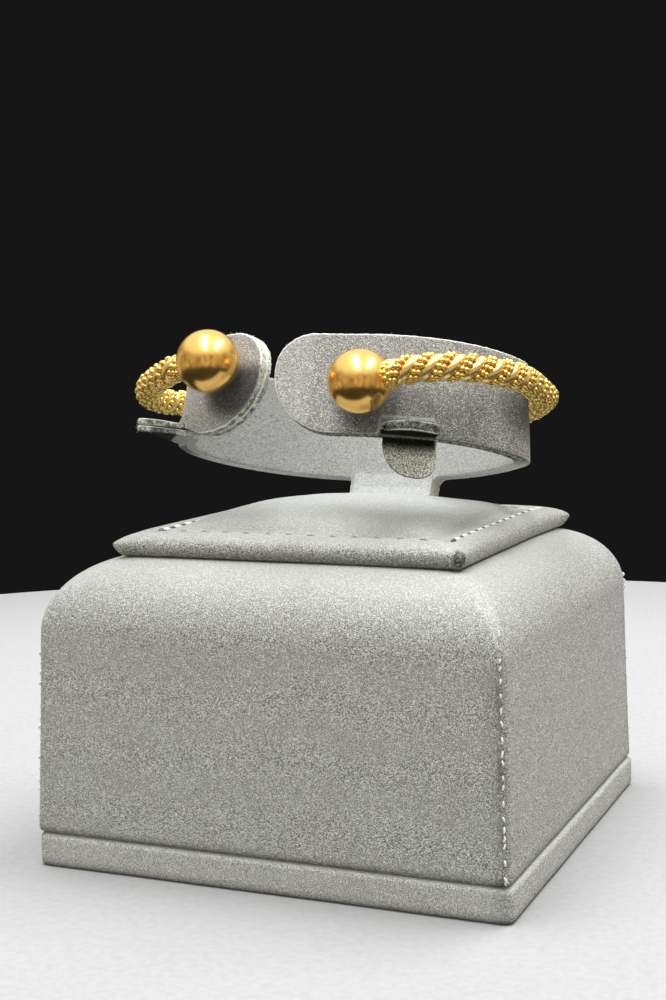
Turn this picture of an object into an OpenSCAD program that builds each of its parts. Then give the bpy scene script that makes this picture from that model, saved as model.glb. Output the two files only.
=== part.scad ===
// Open torque bangle with two ball ends, held on a plain display stand.
// Millimetres. Origin: centre of the stand's underside. +Z up, the open side of the bangle faces -Y.

/* [Stand] */
// Width and depth of the plinth and the block
stand_w = 80; // [76:1:84]
// Height of the plinth
plinth_h = 6.4; // [5:0.1:8]
// Radius of the plinth's top edges
plinth_top_r = 1.5; // [0.5:0.1:2.5]
// Radius of the plinth's bottom edges
plinth_low_r = 0.8; // [0.3:0.1:2]
// Height of the block's flat top above the table
block_top = 51.8; // [51:0.1:52]
// Radius of the block's rounded top edges
block_r = 12; // [8:0.5:14]
// Bare space between boards that lie on each other
board_gap = 0.1; // [0.05:0.05:0.2]

/* [Pad] */
// Width and depth of the pad
pad_w = 60.6; // [58:0.2:62]
// Height of the pad's flat rim
rim_h = 3.4; // [3:0.1:3.6]
// Height of the pad's crown above its rim
crown_h = 3.9; // [3:0.1:4]
// Distance from the pad's middle to the foot of its crown
crown_half = 23.4; // [22:0.1:24]
// Radius of the pad's rolled edge
roll_r = 1.7; // [1:0.1:1.7]

/* [Collar] */
// Height of the collar band along its own axis
band_h = 17.4; // [17.3:0.1:18]
// Thickness of each of the two leather layers
layer_t = 1.45; // [1.2:0.05:1.5]
// Bare space between the two layers
layer_gap = 0.1; // [0.05:0.05:0.15]
// Backward lean of the collar's axis
lean = 16; // [14:0.5:18]
// Sideways lean of the collar's axis
roll = 1.5; // [0:0.5:2]
// Inward lean of the band's wall
flare = 4; // [3:0.5:5]
// Distance from the collar's axis to the outside of its back
back_y = 23.2; // [23:0.1:23.4]
// Width of the neck strip
neck_w = 17.5; // [16:0.5:18]
// Lean of the neck strip against the band
neck_lean = 17; // [15:0.5:19]
// Length of the neck strip
neck_l = 16; // [14:0.5:18]
// Width of the tabs cut in both arms
tab_w = 8; // [7:0.1:9]
// Length of the tabs
tab_l = 8.5; // [7:0.1:9]

/* [Bangle] */
// Diameter of the balls
ball_d = 10.7; // [10.4:0.1:10.8]
// Diameter of the rope
rope_d = 4.9; // [4.6:0.1:5]

/* [Hidden] */
$fn = 96;

// Colours
leatherette = [0.56, 0.56, 0.54];
leatherette_back = [0.66, 0.66, 0.62];
gold = [0.86, 0.65, 0.26];

// Collar's place: the middle of its lower edge's plane, on its own axis
collar_at = [0, -0.4, 66.3];
// Bends of each arm's outer lower edge, from the middle of the back to the straight end
// Columns: radius, angle
RADIUS = 0;
ANGLE = 1;
right_bends = [[38.4, 49.5], [8.7, 51.6], [26.6, 67.8]];
left_bends = [[30.3, 79], [17.8, 87.7]];
// Straight length at the end of each arm
right_straight = 16.7;
left_straight = 8.6;
// Radii of each arm's end, at its upper and its lower corner
right_corners = [6.7, 10.5];
left_corners = [6.3, 10.9];
// Distance of each tab's middle from the tip of its arm
right_tab_back = 23;
left_tab_back = 21.5;
// Radii of a tab's two corners, on the side of the tip and on the other side
tab_corners = [4.6, 2];
// Height of a tab's outward fold on each arm, at its underside, and its drop along its length
right_fold_z = 0.3;
left_fold_z = 1.6;
fold_drop = 5;
// Depth that a folded tab reaches into its layer's wall, and its thickness
tab_root = 1;
tab_t = 1.35;
// Length of the tongue that hangs below the band, and the height where it starts inside the band
tongue_l = 7;
tongue_top = 1;
// Thickness of the tongue, and its depth behind the middle of the inner layer
tongue_t = 0.9;
tongue_depth = 0.1;
// Drop of the neck strip along the collar's axis, and the mean radius of its bend
neck_drop = neck_l * cos(neck_lean);
neck_r = 34;
// Part of the wall's height below the middle corners of its section
middle_part = 0.02;
// Steps across half of the neck strip, and the turn from its last section to the wall's first
neck_steps = 3;
neck_side = 0.05;
// Clearance around the neck strip in its slit
slit_gap = 0.5;
// Depth of the slit below the neck strip's end
slit_spare = 1.5;
// Reach of cutting shapes past what they cut
past = 1;
// Turn between two stations of the wall, and number of steps in its straight ends
bend_step = 6;
end_steps = 12;

// Centres of the two balls
ball_left_at = [-16.2, -23.7, 83.9];
ball_right_at = [10.1, -21.3, 80.4];
// Distance from a ball's centre to the flat where the rope meets it
seat = 4.6;
// Bare space between the flat and the rope's end
seat_gap = 0.05;
// Route of the rope's centre from the left ball round the back to the right ball
route = [[-24, -21.5, 82.5], [-28.5, -18, 81], [-33, -13.5, 79.5], [-37, -6.5, 77.5], [-38.5, 2, 76],
         [-35, 11.5, 75], [-26, 20, 73.5], [-13, 26.5, 72], [1.5, 29.5, 71], [15, 29, 71.5], [25, 24, 73.5],
         [31, 15.5, 76], [33.7, 5, 77.5], [34, -5.5, 80], [31.5, -13, 81.5], [26, -18.5, 82.5],
         [19.5, -21, 82.3]];
// Rings of the rope's tube in each span of the route, and sides of the tube
span_rings = 3;
tube_sides = 12;

// Heading of an arm, in degrees turned from +X towards the front, after its first n bends
function heading(bends, n) = n == 0 ? 0 : heading(bends, n - 1) + bends[n - 1][ANGLE];
// Direction out of the arm's outer face at a heading
function outward(h) = [sin(h), cos(h)];
// Point of the outer lower edge where bend n starts
function bend_start(bends, n) =
    n == 0 ? [0, back_y]
           : let (r = bends[n - 1][RADIUS])
             bend_centre(bends, n - 1) + r * outward(heading(bends, n));
function bend_centre(bends, n) = bend_start(bends, n) - bends[n][RADIUS] * outward(heading(bends, n));
// Heading and point of the outer lower edge at a distance before the end of the last bend
function heading_before(bends, d) =
    heading(bends, len(bends)) - d * 180 / (PI * bends[len(bends) - 1][RADIUS]);
function point_before(bends, d) =
    let (last = len(bends) - 1)
    bend_centre(bends, last) + bends[last][RADIUS] * outward(heading_before(bends, d));

// Stands its children's x along a heading and their y outward
module at_heading(point, h) {
    translate([point[0], point[1], 0])
        rotate([0, 0, -h])
            children();
}

// Extrudes an outline given in x and height through the wall
module through_wall(depth) {
    rotate([90, 0, 0])
        linear_extrude(depth, center = true)
            children();
}

// What a rounded corner leaves out of a square one, with the corner at the origin and the edges along -x and -y
module corner_waste(r) {
    difference() {
        translate([-r, -r])
            square(r + past);
        translate([-r, -r])
            circle(r);
    }
}

// Distance along the wall from a heading on bend n to the arm's tip
function tip_distance(bends, straight, n, h) =
    n == len(bends) - 1 ? straight + (heading(bends, n + 1) - h) * PI / 180 * bends[n][RADIUS]
    : (heading(bends, n + 1) - h) * PI / 180 * bends[n][RADIUS]
      + tip_distance(bends, straight, n + 1, heading(bends, n + 1));
// Height of the rounded end's lower and upper edge at a distance from the tip
function low_edge(corners, d) =
    d >= corners[1] ? 0 : corners[1] - sqrt(pow(corners[1], 2) - pow(corners[1] - d, 2));
function high_edge(corners, d) =
    d >= corners[0] ? band_h : band_h - corners[0] + sqrt(pow(corners[0], 2) - pow(corners[0] - d, 2));
// Stations of one arm from the middle of the back to its tip
// Columns: point of the outer face at height 0, heading, lower edge, upper edge
POINT = 0;
HEADING = 1;
LOW = 2;
HIGH = 3;
function neck_turn(bends) = neck_w / 2 / bends[0][RADIUS] * 180 / PI;
function bend_point(bends, n, h) = bend_centre(bends, n) + bends[n][RADIUS] * outward(h);
// Over the neck strip the wall goes on down; beside it the wall ends at its lower edge
function neck_stations(bends) =
    [for (k = [0 : neck_steps])
         let (h = neck_turn(bends) * k / neck_steps)
         [bend_point(bends, 0, h), h, -neck_drop, band_h]];
function bend_stations(bends, straight, corners, n) =
    let (from = heading(bends, n) + (n == 0 ? neck_turn(bends) + neck_side : 0),
         turn = heading(bends, n + 1) - from,
         steps = ceil(turn / bend_step))
    [for (k = [0 : steps - 1])
         let (h = from + turn * k / steps, d = tip_distance(bends, straight, n, h))
         [bend_point(bends, n, h), h, low_edge(corners, d), high_edge(corners, d)]];
function end_stations(bends, straight, corners) =
    let (h = heading(bends, len(bends)), start = bend_start(bends, len(bends)))
    [for (k = [0 : end_steps])
         let (d = straight * (1 - sin(90 * k / end_steps)))
         [start + (straight - d) * [cos(h), -sin(h)], h, low_edge(corners, d), high_edge(corners, d)]];
function arm_stations(bends, straight, corners) =
    concat(neck_stations(bends),
           [for (n = [0 : len(bends) - 1]) each bend_stations(bends, straight, corners, n)],
           end_stations(bends, straight, corners));

// Corners of the wall's section at a station; side is 1 for the right arm and -1 for the left
// Above height 0 the wall leans inward, below it the neck strip leans forward as it goes down
function wall_point(station, side, depth, t) =
    let (p = station[POINT] - (depth + max(t, 0) * tan(flare)) * outward(station[HEADING]))
    [side * p[0], p[1] + min(t, 0) * tan(neck_lean), t];
function wall_section(station, side, inner) =
    let (low = station[LOW], high = station[HIGH],
         middle = low < 0 ? 0 : low + (high - low) * middle_part)
    [wall_point(station, side, inner, low),
     wall_point(station, side, inner + layer_t, low),
     wall_point(station, side, inner + layer_t, middle),
     wall_point(station, side, inner + layer_t, high),
     wall_point(station, side, inner, high),
     wall_point(station, side, inner, middle)];

// One layer of the C-shaped wall, from the left arm's tip round the back to the right arm's tip
module wall(inner) {
    left = arm_stations(left_bends, left_straight, left_corners);
    right = arm_stations(right_bends, right_straight, right_corners);
    sections = concat([for (k = [len(left) - 1 : -1 : 1]) wall_section(left[k], -1, inner)],
                      [for (station = right) wall_section(station, 1, inner)]);
    corners = len(sections[0]);
    count = len(sections);
    sides = [for (k = [0 : count - 2])
                 for (j = [0 : corners - 1])
                     let (a = corners * k + j, b = corners * k + (j + 1) % corners)
                     each [[a, b, a + corners], [b, b + corners, a + corners]]];
    first_tip = [for (j = [corners - 1 : -1 : 0]) j];
    last_tip = [for (j = [0 : corners - 1]) corners * (count - 1) + j];
    polyhedron([for (section = sections) each section], concat(sides, [first_tip, last_tip]));
}

// Outline of a tab that points along +y, its root on y = 0, its tip side at +x
module tab_outline(length) {
    difference() {
        translate([-tab_w / 2, 0])
            square([tab_w, length]);
        translate([tab_w / 2, length])
            corner_waste(tab_corners[0]);
        translate([-tab_w / 2, length])
            mirror([1, 0])
                corner_waste(tab_corners[1]);
    }
}

// A tab folded outward; its underside's root is at a height and a depth behind the outer face
module folded_tab(low, depth) {
    translate([0, -depth, low])
        rotate([-fold_drop, 0, 0])
            linear_extrude(tab_t)
                tab_outline(tab_l + depth);
}

// Places what is modelled about the collar's own axis
module in_collar() {
    translate(collar_at)
        rotate([-lean, -roll, 0])
            children();
}

// The slit that the neck strip goes into, in the stand's frame
module neck_slit() {
    turn = asin((neck_w / 2 + slit_gap) / neck_r);
    depth = 2 * (layer_t + slit_gap) + layer_gap;
    in_collar()
        translate([0, back_y, 0])
            rotate([-neck_lean, 0, 0])
                translate([0, -neck_r, -neck_l - slit_spare])
                    rotate([0, 0, 90 - turn])
                        rotate_extrude(angle = 2 * turn)
                            translate([neck_r + slit_gap - depth, 0])
                                square([depth, neck_l + slit_spare]);
}

// Outer layer of the band, its half of the neck strip and its two tabs, folded outward
module collar_outer_layer() {
    color(leatherette)
        in_collar() {
            difference() {
                wall(0);
                left_tab_way();
            }
            right_tab_place()
                folded_tab(right_fold_z, tab_root);
            left_tab_place()
                folded_tab(left_fold_z, tab_root);
        }
}

// Inner layer: its left tab comes out under the outer one, its right tab hangs down as a tongue
module collar_inner_layer() {
    color(leatherette_back)
        in_collar() {
            wall(layer_t + layer_gap);
            left_tab_place()
                folded_tab(left_fold_z - layer_t - layer_gap, layer_t + tab_root);
            right_tab_place()
                tongue();
        }
}

// Stands its children at the middle of a tab's root, their x towards the tip and their y outward
module right_tab_place() {
    d = right_tab_back - right_straight;
    at_heading(point_before(right_bends, d), heading_before(right_bends, d))
        children();
}

module left_tab_place() {
    d = left_tab_back - left_straight;
    mirror([1, 0, 0])
        at_heading(point_before(left_bends, d), heading_before(left_bends, d))
            children();
}

// Room under the left arm's outer tab, where the inner layer's tab comes out
module left_tab_way() {
    left_tab_place()
        translate([-tab_w / 2 - layer_gap, -layer_t - past, -past])
            cube([tab_w + 2 * layer_gap, layer_t + 2 * past, past + left_fold_z]);
}

// A tab that hangs straight down below the band
module tongue() {
    translate([0, -1.5 * layer_t - layer_gap - tongue_depth, 0])
        through_wall(tongue_t)
            translate([0, tongue_top])
                mirror([0, 1])
                    tab_outline(tongue_l + tongue_top);
}

// Outline of a board seen from the side, with two top and two bottom radii
module board_outline(width, low, high, top_r, low_r) {
    difference() {
        translate([-width / 2, low])
            square([width, high - low]);
        for (side = [0, 1])
            mirror([side, 0]) {
                translate([width / 2, high])
                    corner_waste(top_r);
                if (low_r > 0)
                    translate([width / 2, low])
                        mirror([0, 1])
                            corner_waste(low_r);
            }
    }
}

// Square board whose rounded edges meet in mitred corners
module board(width, low, high, top_r, low_r) {
    intersection() {
        through_wall(width)
            board_outline(width, low, high, top_r, low_r);
        rotate([0, 0, 90])
            through_wall(width)
                board_outline(width, low, high, top_r, low_r);
    }
}

module stand_plinth() {
    color(leatherette)
        board(stand_w, 0, plinth_h, plinth_top_r, plinth_low_r);
}

module stand_block() {
    color(leatherette)
        difference() {
            board(stand_w, plinth_h + board_gap, block_top, block_r, 0);
            neck_slit();
        }
}

// Height of the pad's top over a point: flat rim, then a crown that is fullest in the middle
CROWN_POWER = 0.45;
function fall(v) = max(0, 1 - pow(v / crown_half, 2));
function crown(x, y) = crown_h * pow(fall(x) * fall(y), CROWN_POWER);
module stand_pad() {
    color(leatherette)
        difference() {
            pad_body();
            neck_slit();
        }
}

// Closed solid of the pad: rings of points from its underside over the rolled edge to the crown's top
module pad_body() {
    low = block_top + board_gap;
    rim = low + rim_h;
    half = pad_w / 2;
    side_points = 14;
    roll_steps = 4;
    crown_steps = 9;
    // Above 1, the crown's rings lie closer together near its foot, where it is steepest
    crown_spread = 1.6;
    // Each ring has a half width and a height of its flat part
    rolled = [for (k = [0 : roll_steps])
                  let (a = -90 + 180 * k / roll_steps)
                  [half - roll_r + roll_r * cos(a), (low + rim) / 2 + rim_h / 2 * sin(a)]];
    crowned = [for (k = [0 : crown_steps - 1])
                   [crown_half * (1 - pow(k / crown_steps, crown_spread)), rim]];
    rings = concat(rolled, crowned);
    ring_points = 4 * side_points;
    points = [for (ring = rings)
                  for (k = [0 : ring_points - 1])
                      let (p = pad_point(ring[0], k, side_points))
                      [p[0], p[1], ring[1] + (ring[1] == rim ? crown(p[0], p[1]) : 0)]];
    top = [0, 0, rim + crown_h];
    bottom = [0, 0, low];
    all_points = concat(points, [top, bottom]);
    sides = [for (j = [0 : len(rings) - 2])
                 for (k = [0 : ring_points - 1])
                     let (a = j * ring_points + k, b = j * ring_points + (k + 1) % ring_points)
                     each [[a, a + ring_points, b], [b, a + ring_points, b + ring_points]]];
    last = (len(rings) - 1) * ring_points;
    caps = [for (k = [0 : ring_points - 1])
                let (n = (k + 1) % ring_points)
                each [[last + k, len(points), last + n], [k, n, len(points) + 1]]];
    polyhedron(all_points, concat(sides, caps));
}

// Point k of a square ring, its four sides walked in equal steps
function pad_point(half, k, side_points) =
    let (side = floor(k / side_points), along = half * (2 * (k % side_points) / side_points - 1))
    side == 0 ? [half, along]
    : side == 1 ? [-along, half]
    : side == 2 ? [-half, -along]
    : [along, -half];

// The rope's tube
function unit(v) = v / norm(v);
function seat_point(ball, next) = ball + (seat + seat_gap) * unit(next - ball);
full_route = concat([seat_point(ball_left_at, route[0])],
                    route,
                    [seat_point(ball_right_at, route[len(route) - 1])]);
// Points before the start and past the end keep each end square to its ball's flat
function knot(i) =
    let (last = len(full_route) - 1)
    i < 0 ? 2 * full_route[0] - full_route[1]
    : i > last ? 2 * full_route[last] - full_route[last - 1]
    : full_route[i];
function spline(i, t) =
    let (a = knot(i - 1), b = knot(i), c = knot(i + 1), d = knot(i + 2))
    0.5 * (2 * b + (c - a) * t + (2 * a - 5 * b + 4 * c - d) * t * t + (3 * b - a - 3 * c + d) * t * t * t);
function slope(i, t) =
    let (a = knot(i - 1), b = knot(i), c = knot(i + 1), d = knot(i + 2))
    unit(0.5 * ((c - a) + 2 * (2 * a - 5 * b + 4 * c - d) * t + 3 * (3 * b - a - 3 * c + d) * t * t));

module bangle_rope() {
    spans = len(full_route) - 1;
    stations = [for (k = [0 : spans * span_rings])
                    let (i = min(floor(k / span_rings), spans - 1))
                    [i, k / span_rings - i]];
    points = [for (s = stations)
                  let (along = slope(s[0], s[1]),
                       side = unit(cross(along, [0, 0, 1])),
                       up = cross(side, along))
                  for (j = [0 : tube_sides - 1])
                      let (a = 360 * j / tube_sides)
                      spline(s[0], s[1]) + rope_d / 2 * (cos(a) * side + sin(a) * up)];
    count = len(stations);
    walls = [for (k = [0 : count - 2])
                 for (j = [0 : tube_sides - 1])
                     let (a = k * tube_sides + j, b = k * tube_sides + (j + 1) % tube_sides)
                     each [[a, b, a + tube_sides], [b, b + tube_sides, a + tube_sides]]];
    start_cap = [for (j = [0 : tube_sides - 1]) tube_sides - 1 - j];
    end_cap = [for (j = [0 : tube_sides - 1]) (count - 1) * tube_sides + j];
    color(gold)
        polyhedron(points, concat(walls, [start_cap, end_cap]));
}

// A ball with a flat where the rope's end meets it
module ball(centre, next) {
    d = unit(next - centre);
    color(gold)
        translate(centre)
            rotate([0, acos(d[2]), atan2(d[1], d[0])])
                difference() {
                    sphere(d = ball_d);
                    translate([-ball_d / 2, -ball_d / 2, seat])
                        cube(ball_d);
                }
}

module ball_left() { ball(ball_left_at, route[0]); }

module ball_right() { ball(ball_right_at, route[len(route) - 1]); }

stand_plinth();
stand_block();
stand_pad();
collar_outer_layer();
collar_inner_layer();
bangle_rope();
ball_left();
ball_right();
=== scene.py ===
import math
import random
from collections import namedtuple

import bmesh
import bpy
import numpy as np
from mathutils import Matrix, Vector, noise


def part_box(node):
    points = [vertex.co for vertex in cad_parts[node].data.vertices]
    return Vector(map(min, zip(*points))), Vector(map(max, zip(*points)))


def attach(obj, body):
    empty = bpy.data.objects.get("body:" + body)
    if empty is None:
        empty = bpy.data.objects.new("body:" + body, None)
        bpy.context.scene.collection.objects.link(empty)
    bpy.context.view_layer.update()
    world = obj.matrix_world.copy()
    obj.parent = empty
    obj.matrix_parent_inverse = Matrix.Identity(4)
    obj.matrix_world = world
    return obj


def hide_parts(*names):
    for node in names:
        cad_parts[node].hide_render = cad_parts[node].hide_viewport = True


# Looks of the open torque bangle and its display stand, in the frame of the CAD model.
# Shapes are in millimetres, which add_object turns into metres. Camera and studio are in metres.
MM = 0.001
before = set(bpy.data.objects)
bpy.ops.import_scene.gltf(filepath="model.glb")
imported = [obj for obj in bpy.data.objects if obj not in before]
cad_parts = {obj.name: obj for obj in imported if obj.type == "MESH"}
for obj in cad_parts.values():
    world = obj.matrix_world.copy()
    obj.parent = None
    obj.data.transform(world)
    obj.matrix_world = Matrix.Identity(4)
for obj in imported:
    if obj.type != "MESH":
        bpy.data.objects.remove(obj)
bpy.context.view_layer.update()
dice = random.Random(7)


# Camera, at the photograph's viewing angle
IMAGE_HEIGHT = 1000
FOCAL_PIXELS = 1604
SENSOR = 36
CAMERA_AT = Vector((107.4, -263.6, 87.6)) * MM
CAMERA_AZIMUTH = math.radians(22.89)
CAMERA_PITCH = math.radians(5.8)
CAMERA_ROLL = math.radians(-0.91)


def add_placed(name, data, place, right, up, back):
    """Links a camera or light that looks away from its back."""
    made = bpy.data.objects.new(name, data)
    made.matrix_world = Matrix.Translation(place) @ Matrix((right, up, back)).transposed().to_4x4()
    bpy.context.scene.collection.objects.link(made)
    return made


def add_camera():
    a, e = CAMERA_AZIMUTH, CAMERA_PITCH
    back = Vector((math.sin(a) * math.cos(e), -math.cos(a) * math.cos(e), math.sin(e)))
    right = (-back).cross(Vector((0, 0, 1))).normalized()
    up = right.cross(-back)
    c, s = math.cos(CAMERA_ROLL), math.sin(CAMERA_ROLL)
    data = bpy.data.cameras.new("camera")
    data.sensor_width = SENSOR
    data.lens = FOCAL_PIXELS / IMAGE_HEIGHT * SENSOR
    data.clip_start = 0.01
    data.clip_end = 20
    camera = add_placed("camera", data, CAMERA_AT, c * right + s * up, c * up - s * right, back)
    bpy.context.scene.camera = camera


# Studio: a bright ceiling dome, long ceiling strips, a dim wall behind the camera and a pale floor
WHITE, WARM, COOL = (1, 1, 1), (1, 0.97, 0.9), (0.97, 0.99, 1)
SOFTBOXES = [
    # name, place, height it points at, width, depth, power, colour,
    # and whether reflections see it; plain surfaces see the others
    ("streak_left", (-0.02, -0.2, 0.68), 0.08, 0.07, 0.56, 1.6, WHITE, True),
    ("glow_left", (-0.02, -0.2, 0.7), 0.08, 0.15, 0.8, 2.2, WARM, True),
    ("streak_right", (0.38, 0.02, 0.66), 0.08, 0.07, 0.42, 1.2, WHITE, True),
    ("glow_right", (0.39, 0.02, 0.68), 0.08, 0.15, 0.62, 1.8, WARM, True),
    ("softbox_left", (-0.1, -0.08, 0.68), 0.06, 0.25, 0.4, 4.3, COOL, False),
    ("softbox_right", (0.2, 0.2, 0.72), 0.06, 0.25, 0.4, 5.6, COOL, False),
    ("softbox_front", (0.1, -0.85, 0.3), 0.03, 0.6, 0.4, 0.8, COOL, False),
]
AWAY = Vector((-0.387, 0.917, 0))
CEILING = [(0.26, 0.012), (0.34, 0.35), (0.5, 1.1), (1.0, 1.3)]
CEILING_WAVE = 0.22
WALL_TONES = [(0.38, (0.14, 0.07, 0.03)), (0.5, (0.46, 0.37, 0.25)), (0.62, (0.88, 0.79, 0.62))]
WALL_STRETCH = (1, 1, 0.25)
BACKDROP = (0.008, 0.008, 0.008)


def add_softbox(name, place, aim_height, width, depth, power, colour, seen):
    """A rectangular light whose depth runs away from the camera."""
    data = bpy.data.lights.new(name, "AREA")
    data.shape = "RECTANGLE"
    data.size = width
    data.size_y = depth
    data.energy = power
    data.color = colour
    back = (Vector(place) - Vector((0, 0, aim_height))).normalized()
    right = AWAY.cross(back)
    if right.length < 0.5:
        right = Vector((0, 0, 1)).cross(back)
    right.normalize()
    light = add_placed(name, data, place, right, back.cross(right), back)
    light.visible_glossy = seen
    light.visible_diffuse = not seen


def add_world():
    """The ceiling dome and the wall, with a plain dark backdrop for what the camera sees of them."""
    world = bpy.data.worlds.new("studio")
    nodes = Nodes(world)
    place = nodes.add("TexCoord", output="Generated")
    wave = nodes.maths("SUBTRACT", nodes.noise(place, 4.5), 0.5)
    height = nodes.add("SeparateXYZ", {"Vector": place}, "Z")
    height = nodes.maths("ADD", height, nodes.maths("MULTIPLY", wave, CEILING_WAVE))
    facing = nodes.add("VectorMath", {0: place, 1: -AWAY}, "Value", operation="DOT_PRODUCT")
    in_front = nodes.ramp(nodes.maths("MULTIPLY_ADD", facing, 0.5, 0.5), [(0.05, 0), (0.14, 1)])
    above_floor = nodes.ramp(nodes.maths("ADD", height, 0.5), [(0.12, 0), (0.28, 1)])
    below_ceiling = nodes.ramp(height, [(0.22, 1), (0.62, 0)])
    share = nodes.maths("MULTIPLY", in_front, nodes.maths("MULTIPLY", above_floor, below_ceiling))
    upright = nodes.add("Mapping", {"Vector": place, "Scale": WALL_STRETCH})
    wall = nodes.ramp(nodes.noise(upright, 7.5), WALL_TONES)
    light = nodes.mix(share, nodes.ramp(height, CEILING), wall)
    light = nodes.mix(nodes.add("LightPath", output="Is Camera Ray"), light, BACKDROP)
    nodes.feed(nodes.tree.nodes["Background"], {"Color": light, "Strength": 1.0})
    bpy.context.scene.world = world


def set_view():
    settings = bpy.context.scene.view_settings
    settings.view_transform = "Standard"
    settings.look = "None"


# Node trees
class Nodes:
    """Adds nodes to a material or world. An input given as a socket is linked, any other value is set."""

    def __init__(self, owner):
        owner.use_nodes = True
        self.owner = owner
        self.tree = owner.node_tree

    def feed(self, node, inputs):
        """Feeds a node's inputs, which go by name or number."""
        for key, value in inputs.items():
            if isinstance(value, bpy.types.NodeSocket):
                self.tree.links.new(value, node.inputs[key])
            else:
                node.inputs[key].default_value = value

    def add(self, kind, inputs=None, output=0, **settings):
        """Adds a node and gives one of its outputs."""
        node = self.tree.nodes.new("ShaderNode" + kind)
        for key, value in settings.items():
            setattr(node, key, value)
        self.feed(node, inputs or {})
        return node.outputs[output]

    def place(self, stretch=(1, 1, 1)):
        """Object coordinates, in metres, scaled along each axis."""
        return self.add("Mapping", {"Vector": self.add("TexCoord", output="Object"), "Scale": stretch})

    def noise(self, place, scale, detail=3.0, roughness=0.6):
        inputs = {"Vector": place, "Scale": scale, "Detail": detail, "Roughness": roughness}
        return self.add("TexNoise", inputs)

    def patches(self, scale, detail, roughness, stops):
        return self.ramp(self.noise(self.place(), scale, detail, roughness), stops)

    def ramp(self, value, stops):
        """A colour ramp through stops of a position and a colour or grey."""
        made = self.add("ValToRGB", {"Fac": value})
        steps = made.node.color_ramp.elements
        while len(steps) < len(stops):
            steps.new(1)
        for step, (position, colour) in zip(steps, stops):
            step.position = position
            step.color = (*np.broadcast_to(colour, 3), 1)
        return made

    def mix(self, factor, a, b, blend="MIX"):
        """Mixes a socket's colour with a socket's or a plain one."""
        b = b if isinstance(b, bpy.types.NodeSocket) else (*b, 1)
        return self.add("Mix", {0: factor, 6: a, 7: b}, 2, data_type="RGBA", blend_type=blend)

    def mix_values(self, factor, a, b):
        return self.add("Mix", {0: factor, 2: a, 3: b}, data_type="FLOAT")

    def maths(self, operation, *values):
        return self.add("Math", dict(enumerate(values)), operation=operation)

    def attribute(self, name):
        return self.add("Attribute", output="Fac", attribute_name=name)

    def surface(self, inputs, height, strength, depth):
        """Feeds the surface shader, with a bump whose depth is in millimetres, and gives the material."""
        normal = self.add("Bump", {"Height": height, "Strength": strength, "Distance": depth * MM})
        self.feed(self.tree.nodes["Principled BSDF"], {**inputs, "Normal": normal})
        return self.owner


def new_material(name):
    return Nodes(bpy.data.materials.new(name))


# Leatherette: fine pearly grain in short level dashes, with silver flecks and faint soiling
GRAIN_SCALE = 9000
GRAIN_STRETCH = (0.8, 0.36, 1.15)
FLECK_SCALE = 8000
LEATHER_LEVELS = [(0.38, (0.05, 0.052, 0.048)), (0.5, (0.265, 0.271, 0.256)), (0.62, (0.63, 0.64, 0.61))]
PLINTH_LEVELS = [(0.37, (0.09, 0.092, 0.088)), (0.5, (0.365, 0.372, 0.353)), (0.63, (0.74, 0.75, 0.72))]
# The collar's coat: a darker copy of the leatherette's levels, painted shade
SHADED_COLLAR_LEVELS = [(0.38, (0.045, 0.046, 0.043)), (0.5, (0.20, 0.201, 0.191)), (0.62, (0.46, 0.46, 0.435))]
# The lining: a paler copy of the leatherette's levels, painted light
LIT_LINING_LEVELS = [(0.30, (0.36, 0.367, 0.357)), (0.5, (0.475, 0.482, 0.472)), (0.70, (0.60, 0.608, 0.597))]
FLECK_COLOUR = (0.80, 0.81, 0.79)
PEPPER_COLOUR = (0.06, 0.06, 0.055)
HIGHLIGHT_COLOUR = (0.86, 0.87, 0.84)
SOIL_COLOUR = (0.82, 0.78, 0.70)
SOIL_SCALE = 130
WEAR_AND_SHADE_COLOUR = (0.03, 0.027, 0.021)
DARKENING_SCALE = 2400
BUMP_STRENGTH = 0.4
BUMP_DEPTH = 0.1


def leatherette_colours(nodes, levels):
    """Colour, roughness and height of the leatherette's coated face, calmer and painted lighter where it
    faces up.
    """
    place = nodes.place(GRAIN_STRETCH)
    grain = nodes.noise(place, GRAIN_SCALE, 1.5)
    cells = nodes.add("TexVoronoi", {"Vector": place, "Scale": FLECK_SCALE}, "Color")
    lot = nodes.add("SeparateColor", {"Color": cells})
    fleck = nodes.ramp(lot, [(0.84, 0), (0.93, 0.7)])
    colour = nodes.mix(fleck, nodes.ramp(grain, levels), FLECK_COLOUR)
    colour = nodes.mix(nodes.ramp(lot, [(0.08, 0.6), (0.16, 0)]), colour, PEPPER_COLOUR)
    normal = nodes.add("NewGeometry", output="Normal")
    # Painted light: faces that face up get a calmer, lighter tone, 1.12 times the middle level, and a calmer
    # bump
    calm_and_top_light = nodes.ramp(nodes.add("SeparateXYZ", {"Vector": normal}, "Z"), [(0.3, 0), (0.85, 0.7)])
    colour = nodes.mix(calm_and_top_light, colour, [1.12 * c for c in levels[1][1]])
    soil = nodes.patches(SOIL_SCALE, 3, 0.55, [(0.52, 0), (0.8, 0.35)])
    colour = nodes.mix(soil, colour, SOIL_COLOUR, "MULTIPLY")
    pebble = nodes.maths("MULTIPLY", cells.node.outputs["Distance"], -0.6)
    height = nodes.mix_values(calm_and_top_light, nodes.maths("ADD", grain, pebble), 0.2)
    return colour, nodes.mix_values(fleck, 0.52, 0.32), height


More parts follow.
